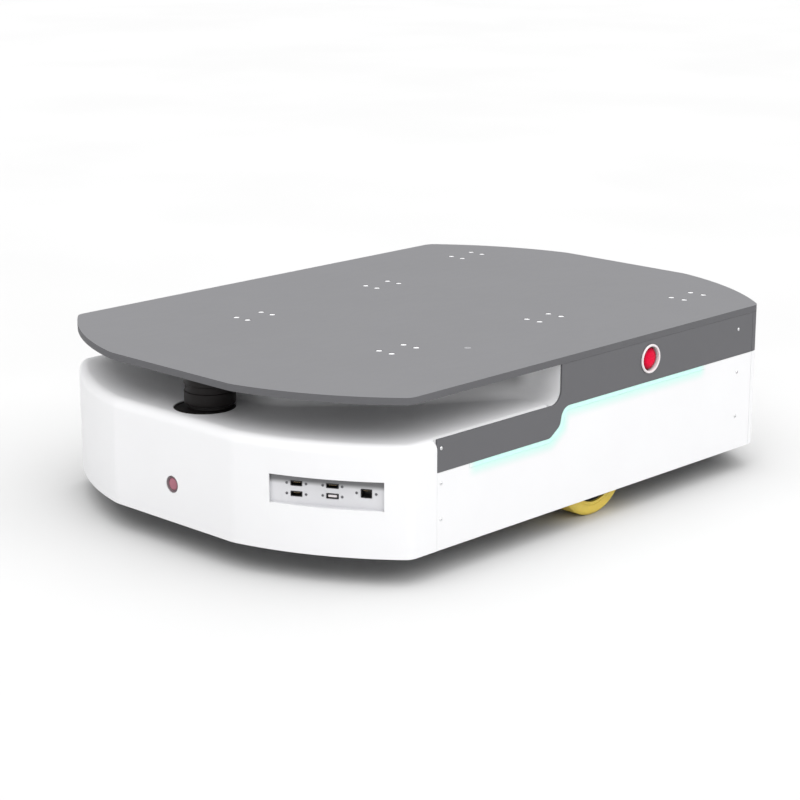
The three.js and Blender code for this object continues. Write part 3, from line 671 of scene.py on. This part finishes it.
def add_deck():
    plate = prism(body_outline(), DECK_UNDER, DECK_TOP)
    tools = [shifted(rod(DECK_HOLE_R, 240, 270, 28), x, y)
             for cluster in CLUSTERS.values() for x, y in cluster_holes(cluster)]
    tools.append(shifted(turned([(0, DECK_UNDER + 4), (2.6, DECK_UNDER + 4), (5.2, DECK_TOP - 0.2),
                                 (5.2, DECK_TOP + 2), (0, DECK_TOP + 2)], 28), *DECK_SCREW))
    deck = add("deck", cut(plate, *tools), deck_paint, replaces="deck_plate",
               bevel=0.7, segments=3)
    # faces that stand upright take the darker grey: painted shade
    deck.data.materials.append(deck_edge_shade)
    for face in deck.data.polygons:
        face.material_index = int(abs(face.normal.z) < 0.5)
    head = turned([(0, DECK_UNDER + 4.3), (2.4, DECK_UNDER + 4.3), (5.1, DECK_TOP - 0.4, 0.1),
                   (5, DECK_TOP - 0.05, 0.1), (0, DECK_TOP - 0.05)], 28)
    head = cut(head, rod(1.3, DECK_TOP - 2, DECK_TOP + 1, 6))
    add("deck_screw", shifted(head, *DECK_SCREW), plug_grey)


def load_rail(cluster):
    x, y = cluster
    half_x, half_y = CLUSTER_PITCH_X / 2 + 8, y + CLUSTER_PITCH_Y / 2 + 8
    top = DECK_UNDER - GAP
    plan = rounded_rectangle(x - half_x, x + half_x, -half_y, half_y, 6)
    bosses, taps = [], []
    for hx, hy in cluster_holes(cluster):
        bosses.append(shifted(turned([(0, top - 1), (4.5, top - 1), (4.5, DECK_TOP - GAP, 0.5),
                                      (0, DECK_TOP - GAP)], 24), hx, hy))
        taps.append(shifted(turned([(0, top - 20), (1.7, top - 20), (1.7, DECK_TOP - 1.6),
                                    (2.2, DECK_TOP - 0.8), (2.2, DECK_TOP + 1), (0, DECK_TOP + 1)], 18),
                            hx, hy))
    return cut(union(prism(plan, top - RAIL_THICK, top), *bosses), *taps)


def add_rails():
    for name, cluster in CLUSTERS.items():
        add(f"rail_{name}", load_rail(cluster), boss_metal,
            replaces=f"load_rail_{name}")


# ---------------------------------------------------------------- covers

ROUND_STEPS = 10


def domed_body(inset, low, high, radius):
    """The body outline drawn up from low to high, with its top edge rounded."""
    rings = [(body_outline(inset), low)]
    for i in range(ROUND_STEPS + 1):
        angle = math.pi / 2 * i / ROUND_STEPS
        rings.append((body_outline(inset + radius * (1 - math.cos(angle))),
                      high - radius * (1 - math.sin(angle))))
    return loft(rings)


def pillar_body(low, high):
    """The pillar, flared by a fillet where it meets the slot's floor."""
    rings = [(pillar_outline(SLOT_FILLET), low)]
    for i in range(ROUND_STEPS + 1):
        angle = math.pi / 2 * i / ROUND_STEPS
        rings.append((pillar_outline(SLOT_FILLET * (1 - math.sin(angle))),
                      SLOT_FLOOR + SLOT_FILLET * (1 - math.cos(angle))))
    rings.append((pillar_outline(0), high))
    return loft(rings)


def on_corner_face(shape):
    """From the left front corner face's frame (X along, Y out, Z up) to the body's."""
    turn = Matrix.Rotation(WINDOW_ANGLE - math.pi / 2, 4, "Z")
    return moved(shape, Matrix.Translation((*WINDOW_CENTRE, 0)) @ turn)


def nose_cover():
    shell = cut(domed_body(0, SKIRT_Z, SLOT_FLOOR, RIM_ROUND),
                domed_body(SKIN, SKIRT_Z - 5, SLOT_FLOOR - SKIN, RIM_ROUND - SKIN))
    edge = PANEL_BACK - GAP
    back_face = SLOT_END + GAP - SKIN
    flanges = [block(SLOT_END + GAP, PANEL_FRONT + 2, *sorted((s * edge, s * (edge - SKIN))),
                     BAND_LOW, SLOT_FLOOR - 1) for s in (1, -1)]
    walls = union(shell, *flanges, pillar_body(SLOT_FLOOR - 1, COVER_TOP))
    hollow = prism(pillar_outline(-SKIN), 120, 270)
    half_w, half_h = WINDOW_WIDTH / 2, WINDOW_HEIGHT / 2
    window = on_corner_face(block(-half_w - WINDOW_OFFSET, half_w - WINDOW_OFFSET, -30, 40,
                                  WINDOW_Z - half_h, WINDOW_Z + half_h))
    foot, button = centre_of("scanner_foot") / MM, centre_of("start_bezel") / MM
    bore = shifted(spun(rod(START_R + GAP, -20, 20, 48), 90, "Y"), HALF_LENGTH, 0, button.z)
    return cut(walls, hollow, block(-600, back_face, -400, 400, 0, 400),
               block(-600, PANEL_FRONT + GAP, edge, 400, 0, 400),
               block(-600, PANEL_FRONT + GAP, -400, -edge, 0, 400),
               shifted(rod(FOOT_R, 150, 200, 96), foot.x), bore, window)


def rear_wall(low, high):
    wall = cut(prism(body_outline(0), low, high), prism(body_outline(SKIN), low - 5, high + 5))
    return cut(wall, block(PANEL_REAR - GAP, 600, -400, 400, 0, 400))


def side_band():
    lower = band_lower_edge(0, PANEL_FRONT, PANEL_REAR)
    floor = SLOT_FLOOR + 0.2
    notch = [p for p in rounded([(PANEL_FRONT, 400), (SLOT_END, 400), (SLOT_END, floor, SLOT_FILLET),
                                 (PANEL_FRONT, floor)], 0, 12) if p[1] < 300]
    outline = [(PANEL_REAR, COVER_TOP), *lower[::-1], *notch[::-1], (SLOT_END, COVER_TOP)]
    stop = centre_of("stop_cap_left") / MM
    hole = shifted(spun(rod(BARREL_R + GAP, -400, 400, 64), 90, "X"), stop.x, 0, stop.z)
    return cut(sheet(outline, PANEL_BACK, HALF_WIDTH), hole)


def side_panel():
    deep = STRIP_HEIGHT + 2 * GAP
    strip = band_lower_edge(deep, STRIP_FRONT + GAP, STRIP_REAR - GAP)
    outline = [(PANEL_FRONT, BAND_LOW - GAP), (STRIP_FRONT + GAP, BAND_LOW - GAP), *strip,
               (STRIP_REAR - GAP, BAND_HIGH - GAP), (PANEL_REAR, BAND_HIGH - GAP),
               (PANEL_REAR, SKIRT_Z), (PANEL_FRONT, SKIRT_Z)]
    return sheet(outline, PANEL_BACK, HALF_WIDTH)


def light_strip():
    upper = band_lower_edge(GAP, STRIP_FRONT, STRIP_REAR)
    lower = band_lower_edge(GAP + STRIP_HEIGHT, STRIP_FRONT, STRIP_REAR)
    return sheet([*upper, *lower[::-1]], PANEL_BACK, HALF_WIDTH)


# X and Z of the screws through a side's band and panel
PANEL_SCREWS = [(327, 182), (327, 133), (327, 82.5), (-341, 231), (-341, 163), (-341, 92.5)]


def add_covers():
    add("nose_shell", nose_cover(), nose_paint, replaces="nose_cover", sharp=32)
    port = block(-600, -400, -PORT_HALF - 1, PORT_HALF + 1, PORT_LOW - 1, PORT_HIGH + 1)
    add("rear_shell", cut(rear_wall(SKIRT_Z, BAND_HIGH - GAP), port), white_paint,
        replaces="rear_cover", sharp=32)
    add("rear_belt", rear_wall(BAND_HIGH, COVER_TOP), band_paint,
        replaces="rear_band", sharp=32)
    band, panel, strip = side_band(), side_panel(), light_strip()
    head = spun(screw(2.6, 1.2), -90, "X")
    heads = together(*(shifted(head, x, HALF_WIDTH, z) for x, z in PANEL_SCREWS))
    for side, sign in SIDES:
        add(f"belt_{side}", on_side(band, sign), band_paint,
            replaces=f"side_band_{side}", bevel=0.35)
        add(f"skirt_{side}", on_side(panel, sign), glow_paint,
            replaces=f"side_panel_{side}", bevel=0.35)
        add(f"diffuser_{side}", on_side(strip, sign), strip_light,
            replaces=f"light_strip_{side}")
        add(f"panel_screws_{side}", on_side(heads, sign), bright_steel)


# ---------------------------------------------------------------- emergency stops and start button

def stop_cap():
    """Mushroom cap with shallow finger grips round its edge."""
    cap = turned_about_y([
        (0, -10), (CAP_R - 1, -10), (CAP_R, -9, 0.4), (CAP_R, -3.5, 0.8), (CAP_R - 2, -1.2, 1.5),
        (CAP_R - 8, 0.2, 3), (0, 0.8)], 96, 5)
    grips = ring_of(spun(shifted(rod(5, -12, 2, 24), CAP_R + 3.7), -90, "X"), 6, 30)
    socket = turned_about_y([(0, -12), (5.3, -12), (5.3, -7.7), (0, -7.7)], 32)
    return cut(cap, socket, *grips)


def stop_collar():
    return turned_about_y([
        (BARREL_R - 1, -14), (BARREL_R, -14), (BARREL_R, 0.3), (ESTOP_R, 0.3, 0.2),
        (ESTOP_R, 1.5, 0.4), (ESTOP_R - 0.8, 2.3, 0.4), (BARREL_R - 1, 2.3, 0.5)], 96, 4)


def stop_block():
    """Contact block behind the collar, with a ring of slots."""
    body = turned_about_y([(0, -52), (15, -52, 1), (15, -17), (BARREL_R, -17), (BARREL_R, -14.3),
                           (0, -14.3)], 64)
    bore = turned_about_y([(0, -40), (7.5, -40), (7.5, 0), (0, 0)], 32)
    return cut(body, bore, *ring_of(block(12.5, 20, -48, -24, -1.2, 1.2), 8))


def add_stops():
    stem = turned_about_y([(0, -34), (7, -34, 0.6), (7, -15, 0.6), (5, -15), (5, -8.3), (0, -8.3)], 48)
    collar, contacts, cap = stop_collar(), stop_block(), stop_cap()
    for side, sign in SIDES:
        middle = centre_of(f"stop_cap_{side}")
        place = Matrix.Translation((middle.x, sign * HALF_WIDTH * MM, middle.z)) @ facing(sign)
        add(f"stop_ring_{side}", collar, ring_plastic,
            replaces=f"stop_body_{side}", place=place)
        add(f"stop_contacts_{side}", contacts, black_plastic, place=place)
        add(f"stop_rod_{side}", stem, dark_grey, body=f"stop_stem_{side}",
            replaces=f"stop_stem_{side}", place=place)
        add(f"stop_knob_{side}", cap, red_plastic, body=f"stop_cap_{side}",
            replaces=f"stop_cap_{side}", place=place)


def add_start_button():
    place = (Matrix.Translation((HALF_LENGTH * MM, 0, centre_of("start_bezel").z))
             @ Matrix.Rotation(math.pi / 2, 4, "Y"))
    bezel = turned([
        (0, -30), (9.5, -30, 0.5), (9.5, -6), (START_R, -6), (START_R, -1, 0.3), (START_R - 1, 0, 0.4),
        (9, -1.5, 0.3), (9, -9), (4.3, -9), (4.3, -25), (0, -25)], 72)
    cap = turned([(0, -22), (4, -22, 0.4), (4, -6.2), (8.7, -6.2), (8.7, -2.2, 0.4), (8, -1.5, 0.6),
                  (0, -1.1)], 72)
    add("start_ring", bezel, start_bezel, replaces="start_bezel", place=place)
    add("start_plunger", cap, pink_plastic, body="start_button",
        replaces="start_button", place=place)


# ---------------------------------------------------------------- service window

SOCKETS = {                      # X, Z, width and height of each opening in the panel
    "usb_socket_upper": (43.3, 7.7, 16.5, 7.4), "usb_socket_lower": (43.3, -6.9, 16.5, 7.4),
    "video_socket": (-6.9, 7.9, 17.5, 6.8), "serial_socket": (-6.9, -6.2, 17.5, 7.6),
    "network_socket": (-53.8, 1.2, 15.6, 12.4),
}
FLANGE_SCREW = 13.5              # from a socket's middle to its flange screws


def window_place(unit=MM):
    """From the panel's frame (X along, Y out, Z up, origin on its face) to the body's."""
    c, s = math.cos(WINDOW_ANGLE), math.sin(WINDOW_ANGLE)
    x, y = WINDOW_CENTRE
    origin = (x + PANEL_STAND * c - WINDOW_OFFSET * s, y + PANEL_STAND * s + WINDOW_OFFSET * c, WINDOW_Z)
    turn = Matrix.Rotation(WINDOW_ANGLE - math.pi / 2, 4, "Z")
    return Matrix.Translation(Vector(origin) * unit) @ turn


def service_panel():
    """Tray whose walls run out to the back of the nose cover."""
    half_w, half_h = WINDOW_WIDTH / 2, WINDOW_HEIGHT / 2
    tray = cut(block(-half_w - 3, half_w + 3, -2, 15, -half_h - 3, half_h + 3),
               block(-half_w, half_w, 0, 20, -half_h, half_h))
    room = moved(domed_body(SKIN + GAP, SKIRT_Z, SLOT_FLOOR, RIM_ROUND), window_place(1).inverted())
    holes = [block(x - w / 2, x + w / 2, -5, 5, z - h / 2, z + h / 2) for x, z, w, h in SOCKETS.values()]
    return cut(combined("INTERSECT", tray, [room]), *holes)


def socket_shell(w, h):
    """Drawn metal shell, open at the front, with a flange behind the panel."""
    plan = [(-w, -h, 1), (w, -h, 1), (w, h, 1), (-w, h, 1)]
    body = sheet(rounded(plan, 0, 4), -16, 0.8)
    flange = block(-w - 2, w + 2, -16, -2 - GAP, -h - 1, h + 1)
    mouth = sheet(rounded([(x, z, 0.7) for x, z, _ in plan], -0.7, 4), -13, 5)
    return cut(union(body, flange), mouth)


def contact_row(w, z, count):
    pitch = (2 * w - 6) / count
    return together(*(block(-w + 3 + pitch * (i + 0.25), -w + 3 + pitch * (i + 0.75), -13, -1.9,
                            z - 0.25, z + 0.05) for i in range(count)))


def add_socket(name, x, z, width, height):
    place = window_place() @ Matrix.Translation((x * MM, 0, z * MM))
    w, h = width / 2 - GAP, height / 2 - GAP
    add(name.replace("socket", "shell"), socket_shell(w, h), black_plastic,
        replaces=name, place=place)
    serial = name == "serial_socket"
    tongue_z, thick, front = (0, h - 1.9, -0.4) if serial else (h - 1.8, 0.6, -1.6)
    tongue = block(-w + 2.4, w - 2.4, -13, front, tongue_z - thick, tongue_z + thick)
    tongue_look = ring_plastic if serial else black_plastic
    add(name.replace("socket", "tongue"), tongue, tongue_look, place=place, bevel=0.2)
    pins = 8 if name == "network_socket" else 4
    add(name.replace("socket", "pins"), contact_row(w, tongue_z - thick, pins), brass, place=place)


def add_service_window():
    place = window_place()
    add("window_tray", service_panel(), panel_paint, replaces="service_panel",
        place=place, bevel=0.3)
    for name, spec in SOCKETS.items():
        add_socket(name, *spec)
    head = spun(screw(1.9, 0.9), -90, "X")
    heads = together(*(shifted(head, x + s * FLANGE_SCREW, 0, z)
                       for x, z, _, _ in SOCKETS.values() for s in (-1, 1)))
    add("flange_screws", heads, dark_steel, place=place)


# ---------------------------------------------------------------- scanner

def add_scanner():
    foot, head_place = centre_of("scanner_foot"), centre_of("scanner_head")
    rim, under, top = FOOT_R - GAP, SLOT_FLOOR - SKIN - GAP, SLOT_FLOOR - 1
    shape = turned([
        (0, 158), (38, 158, 1), (38, under - 5), (rim + 5, under - 5), (rim + 5, under - 1),
        (rim, under - 1), (rim, top, 0.8), (rim - 3, top, 0.3), (rim - 3.6, top - 0.6, 0.2),
        (rim - 5, top - 0.6, 0.2), (rim - 5.6, top, 0.3), (0, top)], 128)
    offset = (head_place.x - foot.x) / MM
    shape = cut(shape, shifted(rod(SCANNER_SHAFT_R + GAP, 165, 210, 32), offset))
    add("scanner_base", shape, scanner_plastic, replaces="scanner_foot",
        place=Matrix.Translation((foot.x, 0, 0)))
    place = Matrix.Translation((head_place.x, 0, 0))
    bore, neck = SCANNER_SHAFT_R + GAP, top + GAP
    collar = turned([(bore, neck), (31, neck, 0.4), (31, neck + 1.6, 0.2), (30, neck + 2, 0.2),
                     (30, neck + 3, 0.2), (31, neck + 3.4, 0.2), (31, neck + 5, 0.4), (bore, neck + 5)], 96)
    add("scanner_neck", collar, black_plastic, replaces="scanner_collar",
        place=place)
    r, shaft = SCANNER_R, SCANNER_SHAFT_R - GAP
    drum = turned([
        (0, 168), (shaft, 168), (shaft, 200), (r - 1, 200, 0.5), (r, 201, 0.6), (r, 217.4, 0.3),
        (r - 1.5, 218.6, 0.3), (r - 1.5, 227.4, 0.3), (r, 228.6, 0.3), (r, 238, 0.2), (r - 0.6, 238.5, 0.1),
        (r - 0.6, 239.3, 0.1), (r, 239.8, 0.2), (r, 243, 0.8), (r - 2, 245, 1), (0, 245)], 128)
    add("scanner_drum", drum, scanner_plastic, body="scanner_head",
        replaces="scanner_head", place=place)


# ---------------------------------------------------------------- drive wheels

def tyre():
    """Smooth tread with eased shoulders, and a moulded groove round its outer side."""
    r, w = WHEEL_R, WHEEL_WIDTH
    tread = [(r - 6, -w, 0.5), (r - 3.5, 0.8 - w, 1.5), (r, 3.6 - w, 1.5), (r, -3.6, 1.5),
             (r - 3.5, -0.8, 1.5), (r - 6, 0, 0.5)]
    groove = [(RIM_R + 6, 0, 0.4), (RIM_R + 5.4, -0.7, 0.3), (RIM_R + 3.4, -0.7, 0.3),
              (RIM_R + 2.8, 0, 0.4)]
    return turned_about_y([(RIM_R + GAP, -w, 0.4), *tread, *groove, (RIM_R + GAP, 0, 0.4)], 128, 4)


def hub():
    """Dished disc with a shaft behind it, bolt holes, and a pocket between each two."""
    disc = turned_about_y([
        (0, -70), (8, -70, 0.5), (8, -36), (20, -36, 0.8), (20, -22, 2), (RIM_R - 5, -22, 2),
        (RIM_R - 5, -38, 0.5), (RIM_R, -38, 0.5), (RIM_R, -2, 0.6), (RIM_R - 8, -12, 2), (24, -12, 2),
        (20, -4, 1), (0, -4)], 96, 4)
    hole = shifted(spun(rod(3.2, -60, 20, 20), -90, "X"), BOLT_CIRCLE_R)
    pocket = sheet(rounded([(33, -5.5, 2), (43, -7.5, 2), (43, 7.5, 2), (33, 5.5, 2)], 0, 4), -60, 20)
    return cut(disc, *ring_of(hole, HUB_BOLTS), *ring_of(pocket, HUB_BOLTS, 180 / HUB_BOLTS))


def gearmotor():
    """Ribbed motor, then the gearbox with a joint line, then its bored nose."""
    motor, gear, nose, bore = 27, 23, 21, 8.3
    ribs = []
    for k in range(9):
        y = -196 + 7 * k
        ribs += [(motor, y, 0.4), (motor, y + 3.4, 0.4),
                 (motor - 1.4, y + 4, 0.3), (motor - 1.4, y + 6.4, 0.3)]
    return turned_about_y([
        (0, -205), (motor - 3, -205, 1), (motor, -202, 1), *ribs, (motor, -131, 0.5), (motor, -128, 0.5),
        (gear, -126, 0.8), (gear, -96, 0.3), (gear - 0.8, -95.4, 0.2), (gear - 0.8, -93, 0.2),
        (gear, -92.4, 0.3), (gear, -60, 0.5), (nose, -60), (nose, -52, 0.5), (bore, -52), (bore, -72),
        (0, -72)], 64)


def add_drives():
    rubber_ring, disc, motor = tyre(), hub(), gearmotor()
    cap = turned_about_y([(0, -5), (15, -5), (15, -2.6, 1), (9, -1.4, 2), (0, -1.4)], 64)
    head = spun(screw(3, 2.2, 20), -90, "X")
    heads = together(*ring_of(shifted(head, BOLT_CIRCLE_R, -12), HUB_BOLTS))
    for side, sign in SIDES:
        low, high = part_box(f"drive_tyre_{side}")
        middle = (low + high) / 2
        outer = high.y if sign > 0 else low.y
        place = Matrix.Translation((middle.x, outer, middle.z)) @ facing(sign)
        body = f"drive_wheel_{side}"
        add(f"tyre_{side}", rubber_ring, tyre_yellow, body=body,
            replaces=f"drive_tyre_{side}", place=place)
        add(f"hub_{side}", disc, hub_paint, body=body,
            replaces=f"drive_hub_{side}", place=place)
        add(f"hub_cap_{side}", cap, zinc, body=body, place=place)
        add(f"hub_bolts_{side}", heads, zinc, body=body, place=place)
        add(f"motor_{side}", motor, motor_paint, replaces=f"gearmotor_{side}",
            place=place)
        keep(f"drive_bracket_{side}", aluminium, 0.6)


# ---------------------------------------------------------------- casters

def caster_fork():
    wide, top = 19, 88
    cheek = rounded([(-CASTER_TRAIL - 9, 28, 6), (-CASTER_TRAIL + 12, 28, 6), (16, top, 4), (-26, top, 4)])
    parts = [sheet(cheek, wide - 3, wide), sheet(cheek, -wide, 3 - wide),
             block(-26, 16, -wide, wide, top - 3.5, top),
             turned([(0, top - 1), (9, top - 1), (9, top + 4, 0.5), (6, top + 4), (6, 96, 0.5), (0, 96)], 32)]
    axle = shifted(spun(turned([(0, -wide - 4), (4, -wide - 4, 0.6), (4, wide + 4, 0.6), (0, wide + 4)], 24),
                        90, "X"), -CASTER_TRAIL, 0, CASTER_R)
    nuts = [shifted(spun(rod(6.5, s - 1.6, s + 1.6, 6), 90, "X"), -CASTER_TRAIL, 0, CASTER_R)
            for s in (wide + 1.6, -wide - 1.6)]
    return union(*parts, axle, *nuts)


def caster_plate():
    top = CHASSIS_UNDER - GAP
    plate = prism(rounded_rectangle(-38, 38, -32, 32, 6), top - 4, top)
    race = turned([(9.5, 89), (20, 89, 1), (22, 92, 1.5), (22, top - 3), (9.5, top - 3)], 48)
    core = cut(union(plate, race, rod(22, 96.5, top - 1, 48)), rod(9.5, 80, 96.5, 48))
    bolts = [shifted(rod(4.6, top - 8, top - 3.5, 6), x, y) for x in (-29, 29) for y in (-24, 24)]
    return union(core, *bolts)


def caster_wheel():
    r = CASTER_R
    return turned_about_y([
        (4.3, -14, 0.3), (10, -14, 0.8), (11, -10.4, 0.8), (r - 14, -9.4, 1), (r - 12, -10.4, 0.8),
        (r - 3, -13, 1.2), (r, -9, 1.5), (r, 9, 1.5), (r - 3, 13, 1.2), (r - 12, 10.4, 0.8),
        (r - 14, 9.4, 1), (11, 10.4, 0.8), (10, 14, 0.8), (4.3, 14, 0.3)], 72)


def add_casters():
    plate, fork, wheel = caster_plate(), caster_fork(), caster_wheel()
    for corner in ("front_left", "front_right", "rear_left", "rear_right"):
        middle = centre_of(f"caster_plate_{corner}")
        place = Matrix.Translation((middle.x, middle.y, 0))
        add(f"plate_{corner}", plate, zinc, replaces=f"caster_plate_{corner}",
            place=place)
        add(f"fork_{corner}", fork, zinc, body=f"caster_swivel_{corner}",
            replaces=f"caster_fork_{corner}", place=place)
        add(f"roller_{corner}", wheel, rubber, body=f"caster_roller_{corner}",
            replaces=f"caster_wheel_{corner}",
            place=Matrix.Translation(centre_of(f"caster_wheel_{corner}")))


# ---------------------------------------------------------------- rear port and inside

def add_charge_port():
    """Rounded face in the rear cover with two wells, and a contact pad in each."""
    back = block(-490, -474, -75, 75, 57, 101.5)
    face = sheet(rounded_rectangle(-PORT_HALF, PORT_HALF, PORT_LOW, PORT_HIGH, 6), -498.5, -489)
    wells = [block(-505, -496, y - 21, y + 21, 70, 90) for y in CONTACTS_Y]
    add("charge_housing", cut(union(back, spun(face, -90, "Z")), *wells), black_plastic,
        replaces="charge_block", bevel=0.5)
    pads = together(*(block(-498, -495.8, y - 18, y + 18, 73, 87) for y in CONTACTS_Y))
    add("charge_contacts", pads, brass, bevel=0.8)


def add_inside():
    keep("chassis_plate", zinc, 0.4)
    keep("rear_frame", zinc, 0.5)
    for side, _ in SIDES:
        keep(f"side_frame_{side}", zinc, 0.5)
        keep(f"deck_post_{side}", zinc, 1.0)
    keep("battery", battery_case, 2.5)
    keep("motor_driver", black_plastic, 0.6)
    keep("controller", aluminium, 0.6)


# ---------------------------------------------------------------- studio

FLOOR_HALF = 30                  # metres
FILL_LEVEL, FILL_SLOPE = 0.62, (0.30, 0.30, 0)      # softly brighter from the front and left


def add_floor():
    g = Finish("floor_paper", Roughness=0.9, Specular_IOR_Level=0.1)
    g.set("Base Color", g.mix(g.level(g.noise(1.2, 2), 0.3, 0.7), (0.60,) * 3, (0.62,) * 3))
    g.bump(g.noise(500, 2), 0.05)
    h = FLOOR_HALF
    floor = bare_object("floor", ([(-h, -h, 0), (h, -h, 0), (h, h, 0), (-h, h, 0)], [(0, 1, 2, 3)]))
    floor.data.materials.append(g.material)


def add_sun(name, strength, angle, towards):
    light = bpy.data.lights.new(name, "SUN")
    light.energy, light.angle = strength, math.radians(angle)
    obj = bpy.data.objects.new(name, light)
    obj.rotation_mode = "QUATERNION"
    obj.rotation_quaternion = Vector(towards).to_track_quat("-Z", "Y")
    bpy.context.scene.collection.objects.link(obj)


def add_studio():
    """A wide soft light from above, a fill from all round, and a white page behind the floor."""
    scene = bpy.context.scene
    scene.world = bpy.data.worlds.new("studio")
    scene.view_settings.view_transform = "Standard"
    g = Graph(scene.world, "Background", Color=(1, 1, 1, 1))
    fill = g.math("ADD", g.dot(g.coordinates["Generated"], FILL_SLOPE), FILL_LEVEL)
    seen = g.node("ShaderNodeLightPath").outputs["Is Camera Ray"]
    g.set("Strength", g.math("MAXIMUM", fill, seen))
    add_sun("overhead", strength=3.32, angle=104, towards=(0, -0.2, -1))


def add_camera():
    data = bpy.data.cameras.new("camera")
    data.sensor_width, data.lens = CAMERA_SENSOR, CAMERA_LENS
    data.clip_start, data.clip_end = 0.1, 100
    camera = bpy.data.objects.new("camera", data)
    camera.location = CAMERA_PLACE
    camera.rotation_euler = (math.radians(90 - CAMERA_DOWN), 0, math.radians(CAMERA_TURN))
    bpy.context.scene.collection.objects.link(camera)
    bpy.context.scene.camera = camera


add_camera()
add_studio()
add_floor()
add_deck()
add_rails()
add_covers()
add_stops()
add_start_button()
add_service_window()
add_scanner()
add_drives()
add_casters()
add_charge_port()
add_inside()
